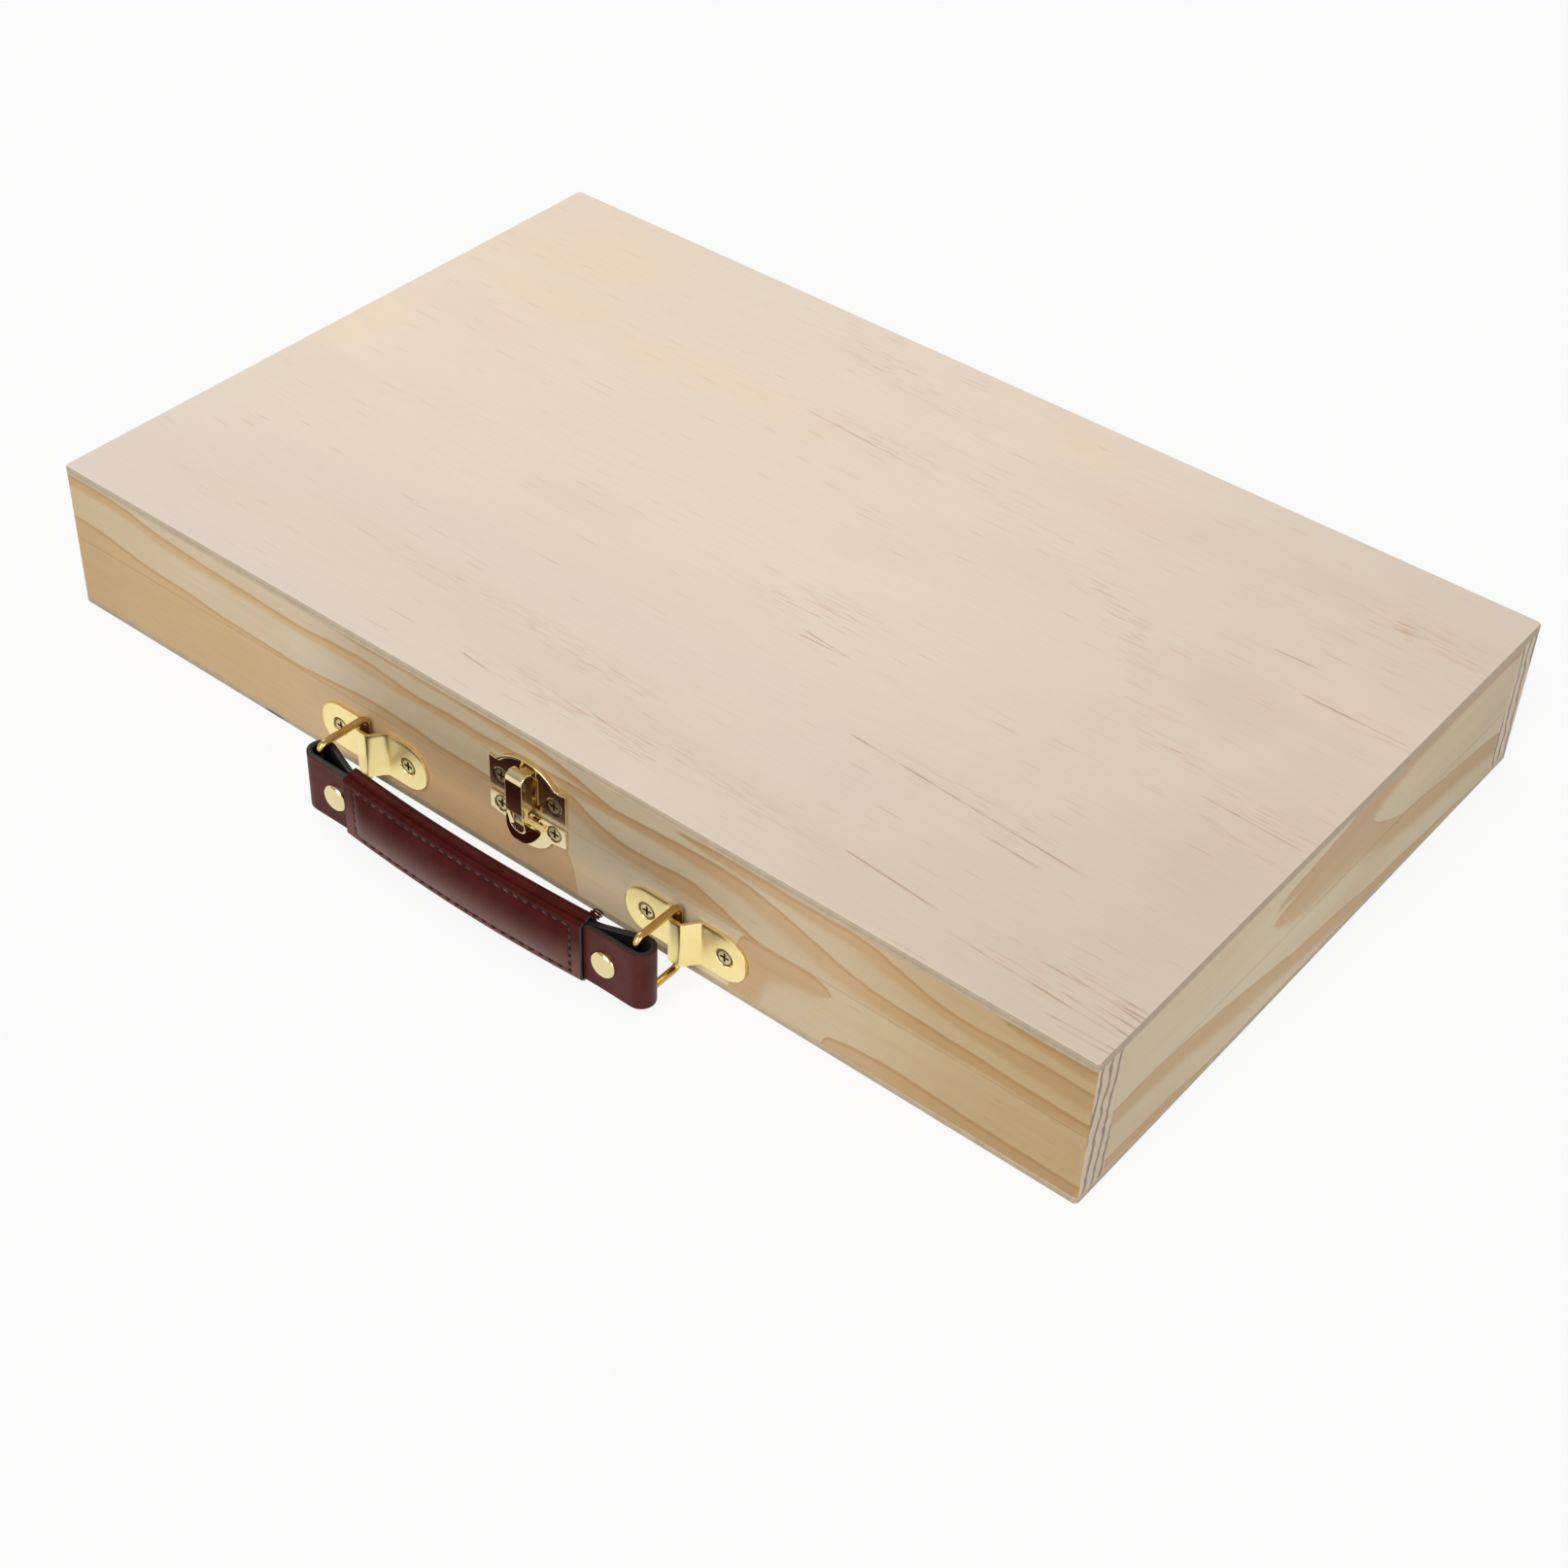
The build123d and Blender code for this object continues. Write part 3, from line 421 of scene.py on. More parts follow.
# ------------ plywood panels
# Thin plywood glued over the top and the bottom and sanded flush: a pale pinkish face with short reddish
# flecks that gather in drifts along the grain, and greyish layered edges.
def plywood(name, turned):
    """Turned is 1 for the top panel and -1 for the bottom one, cut from the sheet the other way round."""
    finish, tree, shader = finish_of(name, 0.5)
    _, parts = object_place(tree)
    x_mm, y_mm, z_mm = (times(tree, part, 1000.0 * way) for part, way in zip(parts, (turned, turned, 1)))

    def cloud(along, across, slice_at, detail=2.0, roughness=0.5):
        """Noise on the face; along and across say how often it changes in a metre."""
        place = put(tree, "ShaderNodeCombineXYZ", times(tree, x_mm, along / 1000),
                    times(tree, y_mm, across / 1000), times(tree, z_mm, 0.003))
        return noise(tree, place.outputs[0], 1.0, detail, roughness, slice_at)

    def spot(x, y, spot_length, spot_width):
        """Soft oval share round a place on the panel; the sizes are half sizes in millimetres."""
        across = times(tree, added(tree, x_mm, -x), 1.0 / spot_length)
        up = times(tree, added(tree, y_mm, -y), 1.0 / spot_width)
        return eased(tree, reach(tree, across, up), 0.25, 1.0, 1.0, 0.0)

    def most(shares):
        """The largest of several shares."""
        total = shares[0]
        for share in shares[1:]:
            total = larger(tree, total, share)
        return total

    # a pale ground with warmer and greener clouds, and painted shade that darkens it towards the far right
    # and the front, where the light falls off
    ground = eased(tree, cloud(5.0, 14.0, 1.0), 0.35, 0.65)
    face = blended(tree, ground, linear(229, 214, 199), linear(231, 216, 198))
    pinker = times(tree, eased(tree, cloud(8.0, 30.0, 2.0), 0.5, 0.72), 0.6)
    face = blended(tree, pinker, face, linear(227, 209, 192))
    patchy = eased(tree, cloud(9.0, 26.0, 5.0, 3.0, 0.6), 0.3, 0.65)
    warm = most([spot(-150, 70, 70, 60), spot(-176, 10, 20, 40), spot(36, 98, 26, 12), spot(64, 80, 12, 12),
                 spot(-70, 50, 70, 18)])
    warm = times(tree, times(tree, warm, patchy), 0.6)
    face = blended(tree, warm, face, linear(233, 214, 184))
    olive = most([spot(128, 22, 34, 28), spot(165, -20, 26, 60), spot(112, -4, 16, 12)])
    olive = times(tree, times(tree, olive, patchy), 0.4)
    face = blended(tree, olive, face, linear(218, 203, 178))
    painted_shade_far_right = eased(tree, x_mm, 20.0, 190.0)
    painted_shade_near_front = eased(tree, y_mm, 20.0, -115.0)
    face = tinted(tree, painted_shade_far_right, face, (0.89, 0.875, 0.86, 1.0))
    face = tinted(tree, painted_shade_near_front, face, (0.89, 0.89, 0.90, 1.0))

    # flecks gather along a winding river and in a few oval drifts
    river_points = [(0.0, 1.0), (0.28, 0.99), (0.4, 0.92), (0.5, 0.86), (0.57, 0.79), (0.66, 0.745),
                    (0.73, 0.69), (0.79, 0.6), (0.85, 0.5), (0.9, 0.445), (1.0, 0.42)]
    along_panel = scaled(tree, x_mm, -half_length, half_length, 0.0, 1.0)
    river_y = drawn_line(tree, along_panel, river_points, -half_depth, half_depth)
    off_river = unsigned(tree, less(tree, y_mm, river_y))
    river = times(tree, eased(tree, off_river, 2.0, 13.0, 1.0, 0.0), eased(tree, x_mm, -80.0, -20.0))
    drifts = most([river, spot(150, 76, 56, 20), spot(168, 60, 22, 8), spot(160, -96, 42, 16),
                   spot(20, -18, 40, 14), spot(40, -30, 24, 8), spot(100, -58, 56, 9), spot(-30, -78, 70, 9),
                   spot(20, -94, 90, 9), spot(-10, 56, 34, 9), spot(160, 38, 26, 6)])
    swarm = eased(tree, cloud(14.0, 60.0, 11.0, 3.0, 0.6), 0.4, 0.62)
    dashes = eased(tree, cloud(95.0, 2100.0, 8.0, 1.0, 0.4), 0.57, 0.67)
    broad_dashes = eased(tree, cloud(55.0, 620.0, 9.0, 2.0, 0.5), 0.56, 0.72)
    fleck = times(tree, times(tree, dashes, swarm), drifts)
    haze = times(tree, times(tree, broad_dashes, drifts), 0.28)
    stray = times(tree, eased(tree, cloud(60.0, 1500.0, 17.0, 1.0, 0.4), 0.68, 0.75), 0.3)

    def vessel_line(x0, y0, x1, y1):
        """Thin dark vessel line across the face."""
        run_x = added(tree, x_mm, -x0)
        off = less(tree, added(tree, y_mm, -y0), times(tree, run_x, (y1 - y0) / (x1 - x0)))
        across = eased(tree, unsigned(tree, off), 0.1, 0.42, 1.0, 0.0)
        ending = eased(tree, run_x, x1 - x0 - 8.0, x1 - x0, 1.0, 0.0)
        return times(tree, across, times(tree, eased(tree, run_x, 0.0, 4.0), ending))

    vessels = [(64, -55, 144, -60), (27, -28.5, 48, -30.5), (27, -31, 46, -30.5), (-40, 57, 2, 54.5),
               (144, 38, 180, 37.6), (128, 50, 146, 50.5), (146, -15, 180, -16.5), (90, -91, 124, -93.5),
               (132, -98, 180, -100), (8, -93, 26, -95), (-36, -97, -18, -98.5), (112, -64, 134, -65),
               (149, -91.3, 190, -91.1), (157, -90.3, 190, -93.6), (160, -88.7, 182, -89.3),
               (159, -96.3, 190, -99.2), (160, -104.7, 190, -103.5), (164, -106.3, 184, -105.6),
               (166, -94.6, 190, -95.6)]
    lines = most([vessel_line(*vessel) for vessel in vessels])
    broken = eased(tree, cloud(80.0, 30.0, 23.0, 2.0, 0.6), 0.35, 0.6, 0.15, 0.6)
    face = blended(tree, haze, face, linear(212, 178, 150))
    face = blended(tree, times(tree, fleck, 0.5), face, linear(182, 136, 108))
    face = blended(tree, stray, face, linear(184, 140, 112))
    face = blended(tree, times(tree, lines, broken), face, linear(164, 120, 90))
    fine = cloud(40.0, 1100.0, 15.0, 2.0, 0.6)
    face = toned(tree, face, eased(tree, fine, 0.3, 0.7, 0.982, 1.01))

    # the edge shows three plies, the middle one darker, with thin glue lines, a dull arris and one small knot
    from_middle = unsigned(tree, added(tree, z_mm, -case_height / 2))
    past_inner = eased(tree, from_middle, 22.7, 22.9)
    middle_ply = times(tree, past_inner, eased(tree, from_middle, 23.5, 23.7, 1.0, 0.0))
    glue = most([eased(tree, unsigned(tree, added(tree, from_middle, -level)), 0.05, 0.22, 1.0, 0.0)
                 for level in (21.95, 22.8, 23.6)])
    arris = eased(tree, from_middle, 23.9, 24.3, 0.0, 0.7)
    mottled = eased(tree, cloud(260.0, 260.0, 21.0, 3.0, 0.6), 0.3, 0.7, 0.9, 1.04)
    knot_x, knot_z = -97.5 * turned, 0.7
    along_knot, up_knot = added(tree, x_mm, -knot_x), added(tree, z_mm, -knot_z)
    from_knot = reach(tree, times(tree, along_knot, 0.2), times(tree, up_knot, 1.3))
    knot = times(tree, eased(tree, from_knot, 0.5, 1.1, 0.8, 0.0), mottled)
    edge = blended(tree, middle_ply, linear(196, 180, 154), linear(186, 170, 147))
    edge = blended(tree, times(tree, glue, 0.4), edge, linear(146, 128, 104))
    edge = blended(tree, arris, edge, linear(160, 146, 124))
    # the same painted shade darkens the edge towards the far right
    edge = tinted(tree, painted_shade_far_right, edge, (0.88, 0.88, 0.88, 1.0))
    edge = blended(tree, knot, toned(tree, edge, mottled), linear(70, 56, 46))
    off_x, off_y = unsigned(tree, x_mm), unsigned(tree, y_mm)
    outer_x = eased(tree, off_x, half_length - 0.4, half_length - 0.1)
    outer_y = eased(tree, off_y, half_depth - 0.4, half_depth - 0.1)
    corner_sum = half_length + half_depth
    round_corner = eased(tree, added(tree, off_x, off_y), corner_sum - 1.3, corner_sum - 1.0)
    outer = larger(tree, larger(tree, outer_x, outer_y), round_corner)
    colour = blended(tree, outer, face, edge)
    surface(tree, shader, colour, eased(tree, fine, 0.3, 0.7, 0.46, 0.56), fine, 0.15, 0.00004)
    shader.inputs["Specular IOR Level"].default_value = 0.25
    return finish


for node_name, turned in (("lid_top_panel", 1), ("base_bottom_panel", -1)):
    repaint(node_name, plywood(f"plywood_{node_name}", turned))

# ------------ carrying brackets and their rings
# Each bracket is an obround strip of brass-plated steel pressed into a saddle in the middle, and screwed to
# the front with two cross-head wood screws. A bent ring of thicker brass wire turns in the saddle.
front_y = -half_depth


def brass(name, colour, deep, roughness):
    """Plated sheet or wire: a clear satin brass with faint darker clouds where the plating is thicker."""
    finish, tree, shader = finish_of(name, roughness, 1.0)
    place, _ = object_place(tree)
    clouds = eased(tree, noise(tree, place, 90.0), 0.42, 0.8)
    worn = eased(tree, noise(tree, place, 140.0), 0.35, 0.65, roughness * 0.92, roughness * 1.1)
    surface(tree, shader, blended(tree, clouds, colour, deep), worn)
    return finish


def screw_head(name, middle_x, pair_half, screw_reach, height, head_radius):
    """Brass with painted shade in a dark rim and a dark cross, for screws at middle_x +- pair_half +-
    screw_reach.
    """
    finish, tree, shader = finish_of(name, 0.26, 1.0)
    place, parts = object_place(tree)
    x_mm, y_mm, z_mm = (times(tree, part, 1000.0) for part in parts)
    across = unsigned(tree, added(tree, x_mm, -middle_x))
    across = unsigned(tree, added(tree, across, -pair_half))
    from_axis = reach(tree, added(tree, across, -screw_reach), added(tree, z_mm, -height))
    # painted shade: the head's outer edge is darkened for the countersink gap round it, and the cross for its
    # recess
    rim = eased(tree, from_axis, head_radius - 0.62, head_radius - 0.4)
    painted_shade_in_cross = eased(tree, unsigned(tree, y_mm), half_depth + 0.58, half_depth + 0.7, 1.0, 0.0)
    patches = noise(tree, place, 500.0)
    face = blended(tree, eased(tree, patches, 0.35, 0.7), linear(226, 208, 158), linear(190, 166, 112))
    colour = blended(tree, times(tree, larger(tree, rim, painted_shade_in_cross), 0.85), face, linear(74, 52, 26))
    surface(tree, shader, colour, eased(tree, patches, 0.3, 0.7, 0.22, 0.32))
    return finish


def add_piece(name, shape, finishes, body, replaced=(), sharp=50.0):
    """A finished piece from a mesh drawn in millimetres, smooth but for edges sharper than this angle."""
    bmesh.ops.remove_doubles(shape, verts=shape.verts, dist=0.001)
    bmesh.ops.recalc_face_normals(shape, faces=shape.faces)
    bmesh.ops.scale(shape, verts=shape.verts, vec=(0.001, 0.001, 0.001))
    for face in shape.faces:
        face.smooth = True
    for edge in shape.edges:
        edge.smooth = len(edge.link_faces) == 2 and edge.calc_face_angle(0.0) < math.radians(sharp)
    mesh = bpy.data.meshes.new(name)
    shape.to_mesh(mesh)
    shape.free()
    for finish in finishes:
        mesh.materials.append(finish)
    piece = bpy.data.objects.new(name, mesh)
    bpy.context.scene.collection.objects.link(piece)
    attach(piece, body)
    if replaced:
        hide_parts(*replaced)
    return piece


def pressed_copy(node_name):
    """The node's shape in millimetres, with its facets joined into whole faces."""
    shape = bmesh.new()
    shape.from_mesh(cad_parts[node_name].data)
    bmesh.ops.scale(shape, verts=shape.verts, vec=(1000, 1000, 1000))
    bmesh.ops.remove_doubles(shape, verts=shape.verts, dist=0.003)
    bmesh.ops.dissolve_limit(shape, angle_limit=math.radians(0.6), verts=shape.verts, edges=shape.edges)
    return shape


def steep_edges(shape, angle):
    """Edges where two faces meet at more than this angle."""
    return [edge for edge in shape.edges
            if len(edge.link_faces) == 2 and edge.calc_face_angle(0.0) > math.radians(angle)]


def eased_edges(shape, edges, width, segments):
    bmesh.ops.bevel(shape, geom=edges, offset=width, offset_type="OFFSET", segments=segments, profile=0.5,
                    affect="EDGES", material=-1, clamp_overlap=False)


bracket_brass = brass("bracket_brass", linear(252, 232, 166), linear(244, 222, 152), 0.3)
wire_brass = brass("wire_brass", linear(208, 176, 112), linear(184, 150, 86), 0.2)
bracket_height, strip_thickness = 12.9, 1.0
end_x, end_radius = 13.1, 7.4
half_stations = [0, 0.8, 1.4, 1.8, 2.1, 2.4, 2.7, 3.1, 3.6, 4.1, 4.6, 4.9, 5.2, 5.5, 5.9, 6.5, 7.6, 9.4, 11.3]
half_stations += [end_x + end_radius * math.sin(math.radians(degrees)) for degrees in range(0, 91, 9)]
stations = [-x for x in reversed(half_stations[1:])] + half_stations
saddle = [(0.0, 4.3), (1.4, 4.3), (1.8, 4.24), (2.1, 4.1), (2.4, 3.85), (2.7, 3.5), (3.1, 2.95), (3.6, 2.24),
          (4.1, 1.54), (4.6, 0.86), (4.9, 0.5), (5.2, 0.25), (5.5, 0.1), (5.9, 0.02), (6.5, 0.0), (30.0, 0.0)]


def cut_away(shape, tools):
    """The shape with the tools' volume taken out of it."""
    parts = []
    for name, solid in (("blank", shape), ("cutter", tools)):
        mesh = bpy.data.meshes.new(name)
        solid.to_mesh(mesh)
        solid.free()
        parts.append(bpy.data.objects.new(name, mesh))
        bpy.context.scene.collection.objects.link(parts[-1])
    cut = parts[0].modifiers.new("cut", "BOOLEAN")
    cut.object = parts[1]
    cut.solver = "EXACT"
    bpy.context.view_layer.update()
    remaining = bpy.data.meshes.new_from_object(parts[0].evaluated_get(bpy.context.evaluated_depsgraph_get()))
    for part in parts:
        bpy.data.objects.remove(part)
    shape = bmesh.new()
    shape.from_mesh(remaining)
    return shape


def saddle_height(x):
    """How far the pressed saddle stands out of the flat strip."""
    for (near, high), (far, low) in zip(saddle, saddle[1:]):
        if near <= abs(x) <= far:
            return high + (low - high) * (abs(x) - near) / (far - near)
    return 0.0


for node_name, bracket_x in (("left_handle_bracket", -55.5), ("right_handle_bracket", 57.5)):
    shape = bmesh.new()
    bmesh.ops.create_grid(shape, x_segments=len(stations) - 1, y_segments=12, size=1.0)
    for corner in shape.verts:
        x = stations[round((corner.co.x + 1.0) / 2.0 * (len(stations) - 1))]
        half_height = math.sqrt(max(0.0, end_radius**2 - max(0.0, abs(x) - end_x) ** 2))
        z = bracket_height + half_height * corner.co.y
        corner.co = (bracket_x + x, front_y - strip_thickness - saddle_height(x), z)
    bmesh.ops.remove_doubles(shape, verts=shape.verts, dist=0.001)
    bmesh.ops.recalc_face_normals(shape, faces=shape.faces)
    if sum(face.normal.y for face in shape.faces) > 0:
        bmesh.ops.reverse_faces(shape, faces=shape.faces)
    bmesh.ops.solidify(shape, geom=shape.faces, thickness=strip_thickness)
    eased_edges(shape, steep_edges(shape, 60), 0.2, 2)
    seats = bmesh.new()
    for side in (-1, 1):
        seat = bmesh.ops.create_cone(seats, cap_ends=True, segments=40, radius1=2.3, radius2=3.25,
                                     depth=1.8)["verts"]
        bmesh.ops.rotate(seats, verts=seat, cent=(0, 0, 0), matrix=Matrix.Rotation(math.radians(90), 3, "X"))
        bmesh.ops.translate(seats, verts=seat, vec=(bracket_x + side * end_x, front_y - 0.65, bracket_height))
    shape = cut_away(shape, seats)
    bracket = add_piece(node_name + "_pressed", shape, (bracket_brass,), "base", (node_name,), sharp=38)
for node_name in ("left_ring", "right_ring"):
    repaint(node_name, wire_brass)
latch_x, latch_screw_reach, lid_screw_z, base_screw_z = 2.75, 9.4, 30.0, 20.5
for node_name, *places in (("bracket_screws", 1.0, 56.5, end_x, bracket_height, 2.5),
                           ("latch_lid_screws", latch_x, 0.0, latch_screw_reach, lid_screw_z, 2.5),
                           ("latch_base_screws", latch_x, 0.0, latch_screw_reach, base_screw_z, 2.5),
                           ("hinge_lid_screws", 0.0, 115.0, 8.0, 30.6, 2.1),
                           ("hinge_base_screws", 0.0, 115.0, 8.0, 17.8, 2.1)):
    repaint(node_name, screw_head(f"screw_brass_{node_name}", *places))

# ------------ flap latch
# Polished brass plate: an upper plate with a round raised rim and a lower one with a round lobe, each held by
# two screws. The flap is folded into a box over the pin, with a scooped lip and a round thumb tab below it.
latch_brass = brass("latch_brass", linear(236, 218, 174), linear(226, 206, 156), 0.12)
pin_y, pin_z = front_y - 3.8, 36.2


def kept_flat(piece):
    """Shades a pressed piece's large faces flat, beside its eased edges."""
    flat_faces = piece.modifiers.new("flat_faces", "WEIGHTED_NORMAL")
    flat_faces.weight = 90
    flat_faces.keep_sharp = True


for node_name, body, screw_z in (("latch_lid_plate", "lid", lid_screw_z),
                                 ("latch_base_plate", "base", base_screw_z)):
    shape = pressed_copy(node_name)
    rims = []
    for edge in steep_edges(shape, 50):
        x, y, z = edge.verts[0].co
        from_screw = min(math.hypot(x - latch_x - side * latch_screw_reach, z - screw_z) for side in (-1, 1))
        if from_screw > 3.2 and abs(y - pin_y) > 0.9:
            rims.append(edge)
    eased_edges(shape, rims, 0.22, 3)
    plate = add_piece(node_name + "_pressed", shape, (latch_brass,), body, (node_name,), sharp=35)
    kept_flat(plate)
stem = bmesh.new()
bmesh.ops.create_cube(stem, size=1.0)
bmesh.ops.scale(stem, verts=stem.verts, vec=(7.0, 5.4, 5.68))
bmesh.ops.translate(stem, verts=stem.verts, vec=(latch_x, front_y - 4.3, 23.14))
shape = cut_away(pressed_copy("latch_flap"), stem)
bmesh.ops.dissolve_limit(shape, angle_limit=math.radians(0.6), verts=shape.verts, edges=shape.edges)
rims = [edge for edge in steep_edges(shape, 50)
        if math.hypot(edge.verts[0].co.y - pin_y, edge.verts[0].co.z - pin_z) > 1.0]
eased_edges(shape, rims, 0.25, 3)

# the lip: a narrow U whose rim stands out from a scooped floor, closed at the back against the tongue
lip_bottom, lip_top, lip_half_width = 17.9, 26.0, 2.75
lip_round_z = lip_bottom + lip_half_width
lip = bmesh.ops.create_grid(shape, x_segments=22, y_segments=30, size=1.0)["verts"]
for corner in lip:
    z = (lip_bottom + lip_top) / 2 + (lip_top - lip_bottom) / 2 * corner.co.y
    in_round = max(0.0, lip_round_z - z)
    x = corner.co.x * math.sqrt(max(0.0, lip_half_width**2 - in_round**2))
    from_rim = lip_half_width - math.hypot(x, in_round)
    rim_out = 4.4 + 0.2 * (z - lip_bottom)
    floor_out = 4.05 + 0.3 * min(1.0, max(0.0, (20.6 - z) / 2.2)) ** 1.5
    dip = min(1.0, max(0.0, (from_rim - 0.36) / 0.4))
    out = rim_out + (floor_out - rim_out) * dip * dip * (3 - 2 * dip)
    corner.co = (latch_x + x, front_y - out, z)
lip_front = list({face for corner in lip for face in corner.link_faces})
grown = bmesh.ops.extrude_face_region(shape, geom=lip_front, use_keep_orig=True)["geom"]
for corner in (item for item in grown if isinstance(item, bmesh.types.BMVert)):
    corner.co.y = front_y - 2.5 - 1.25 * min(1.0, max(0.0, (corner.co.z - 19.9) / 0.8))
flap = add_piece("latch_flap_folded", shape, (latch_brass,), "latch_flap", ("latch_flap",), sharp=35)
kept_flat(flap)
repaint("latch_pin", latch_brass)

# ------------ butt hinges
# Two small stamped brass hinges across the seam at the back, with rolled knuckles and four screws each.
# Their screws have the same finish as the others.
hinge_brass = brass("hinge_brass", linear(224, 202, 146), linear(208, 184, 126), 0.24)
for side in ("left", "right"):
    for part in ("base_leaf", "lid_leaf", "pin"):
        repaint(f"{side}_hinge_{part}", hinge_brass)

# ------------ leather handle strap
# One strip of burgundy-brown leather closed into a long loop: doubled in the middle and open round the outer
# bar of each ring. Its cut edges and its inner side are painted black.
def leather(name, colour, deep, roughness, grain_size, gloss=0.3, painted_sheen=None):
    """Waxed leather; the last argument is a paler colour painted in towards the lower edge, a painted sheen
    that stands in for the floor's reflection.
    """
    finish, tree, shader = finish_of(name, roughness)
    place, parts = object_place(tree)
    patches = noise(tree, place, 110.0, 4.0, 0.6)
    hide = blended(tree, eased(tree, patches, 0.35, 0.7), colour, deep)
    if painted_sheen:
        # painted sheen: paler towards the lower edge
        height_mm = times(tree, parts[2], 1000.0)
        hide = blended(tree, eased(tree, height_mm, 4.5, 18.0, 1.0, 0.0), hide, painted_sheen)
    grain = put(tree, "ShaderNodeTexVoronoi", place, None, grain_size, feature="SMOOTH_F1")
    relief = added(tree, grain.outputs[0], noise(tree, place, 420.0, 5.0, 0.65))
    worn = eased(tree, patches, 0.3, 0.7, roughness - 0.05, roughness + 0.07)
    surface(tree, shader, hide, worn, relief, 0.22, 0.00006)
    shader.inputs["Specular IOR Level"].default_value = gloss
    return finish


def softened(piece, levels):
    """Rounds a piece's drawn shape by subdivision."""
    smoother = piece.modifiers.new("soft_edges", "SUBSURF")
    smoother.levels = smoother.render_levels = levels


def drawn_out(shape, edges, move):
    """Extrudes an edge loop, moves the new loop, and returns its edges."""
    new = bmesh.ops.extrude_edge_only(shape, edges=edges)["geom"]
    points = [item for item in new if isinstance(item, bmesh.types.BMVert)]
    bmesh.ops.translate(shape, verts=points, vec=move)
    return [item for item in new if isinstance(item, bmesh.types.BMEdge)]


strap_leather = leather("strap_leather", linear(80, 32, 28), linear(66, 22, 18), 0.42, 1500.0, 0.13)
edge_paint = leather("edge_paint", linear(30, 28, 28), linear(22, 20, 20), 0.4, 1900.0)
strap_front, strap_bottom, strap_thickness = 22.05, 2.6, 1.7
handle_middle = 12.1
loop_x, loop_out, loop_radius = 57.55, 17.95, 4.17


def bow(x):
    """How far the middle of the handle bows away from the case."""
    return 1.8 * max(0.0, 1.0 - (x / 44.0) ** 2)


half_path = [(x, strap_front + bow(x)) for x in (6.0, 18.0, 29.0, 38.0, 43.0, 47.0, 52.5)]
for degrees in (94, 72, 48, 24, 0, -24, -48, -72, -96, -112):
    turn = math.radians(degrees)
    half_path.append((loop_x + loop_radius * math.cos(turn), loop_out + loop_radius * math.sin(turn)))
half_path += [(52.2, 15.55), (48.2, 17.05), (45.0, 18.3)]
half_path += [(x, strap_front - 3.42 + bow(x)) for x in (42.6, 38.0, 29.0, 18.0, 6.0)]
full_path = half_path + [(-x, out) for x, out in reversed(half_path)]
shape = bmesh.new()
corners = [shape.verts.new((x, front_y - out, strap_bottom)) for x, out in full_path]
rail = [shape.edges.new((corners[i - 1], corners[i])) for i in range(len(corners))]
for rise in (0.25, 0.9, 4.2, 4.15, 4.15, 4.2, 0.9, 0.25):
    rail = drawn_out(shape, rail, (0, 0, rise))
bmesh.ops.recalc_face_normals(shape, faces=shape.faces)
shape.faces.ensure_lookup_table()
front_face = min(shape.faces, key=lambda face: face.calc_center_median().y)
if front_face.normal.y > 0:
    bmesh.ops.reverse_faces(shape, faces=shape.faces)
outside = set(shape.faces)
bmesh.ops.solidify(shape, geom=shape.faces, thickness=strap_thickness)
for face in shape.faces:
    face.material_index = 0 if face in outside else 1
finishes = (strap_leather, edge_paint)
strap = add_piece("handle_strap_leather", shape, finishes, "handle", ("handle_strap",), sharp=180)
softened(strap, 2)

# ------------ padded sleeve
# The grip: two pieces of the same leather over the middle of the strap, with a thin foam pad under the front
# one, sewn together along a rectangle. The glued layers show as ridges along the top and bottom.
sleeve_left, sleeve_right = -44.0, 41.8
sleeve_out, front_skin, back_skin = 20.35, 2.78, 2.9
seam_left, seam_right, seam_bottom, seam_top = -40.1, 37.9, 3.9, 19.8


def seam_distance(x, z):
    """Distance from the sewn rectangle, positive inside it."""
    inside = min(x - seam_left, seam_right - x, z - seam_bottom, seam_top - z)
    if inside >= 0:
        return inside
    return -math.hypot(max(seam_left - x, 0, x - seam_right), max(seam_bottom - z, 0, z - seam_top))


def pad_height(x, z):
    """How far the front leather stands out from its border."""
    distance = seam_distance(x, z)
    groove = -0.38 * math.exp(-((distance / 0.5) ** 2))
    if distance <= 0:
        return groove
    dome = 1.0 - ((2 * z - seam_bottom - seam_top) / (seam_top - seam_bottom)) ** 2
    return groove + (0.35 + 1.35 * dome) * (1.0 - math.exp(-distance / 2.0))


layers = [(-back_skin, 20.9), (-2.84, 21.9), (-2.6, 22.4), (-2.1, 22.64), (-1.2, 22.7), (-0.3, 22.66),
          (0.3, 22.5), (0.6, 22.1), (0.72, 21.7), (0.9, 21.66), (1.1, 22.0), (1.4, 22.24), (1.75, 22.3),
          (2.05, 22.1), (2.2, 21.7), (2.35, 21.62), (2.5, 21.8), (2.7, 21.6)]
rows = [21.1, 20.6, 20.2, 19.95, 19.8, 19.65, 19.4, 19.0, 18.4, 17.4, 16.0, 14.0, 12.0, 10.0, 8.0, 6.6, 5.6,
        4.9, 4.4, 4.15, 3.9, 3.65, 3.3, 2.9]
ring_places = layers + [(front_skin, z) for z in rows]
ring_places += [(out, 2 * handle_middle - z) for out, z in reversed(layers)]
ring_places += [(-back_skin, z) for z in reversed(rows[1:-1])]
shape = bmesh.new()
corners = [shape.verts.new((sleeve_left, front_y - sleeve_out - out, z)) for out, z in ring_places]
rail = [shape.edges.new((corners[i - 1], corners[i])) for i in range(len(corners))]
near_end = (0.35, 0.6, 0.9, 0.8, 0.5, 0.35, 0.25, 0.15, 0.15, 0.25, 0.35, 0.5, 0.8, 1.2)
middle_run = (sleeve_right - sleeve_left - 2 * sum(near_end)) / 30
first_rail = rail
for step in near_end + (middle_run,) * 30 + tuple(reversed(near_end)):
    rail = drawn_out(shape, rail, (step, 0, 0))
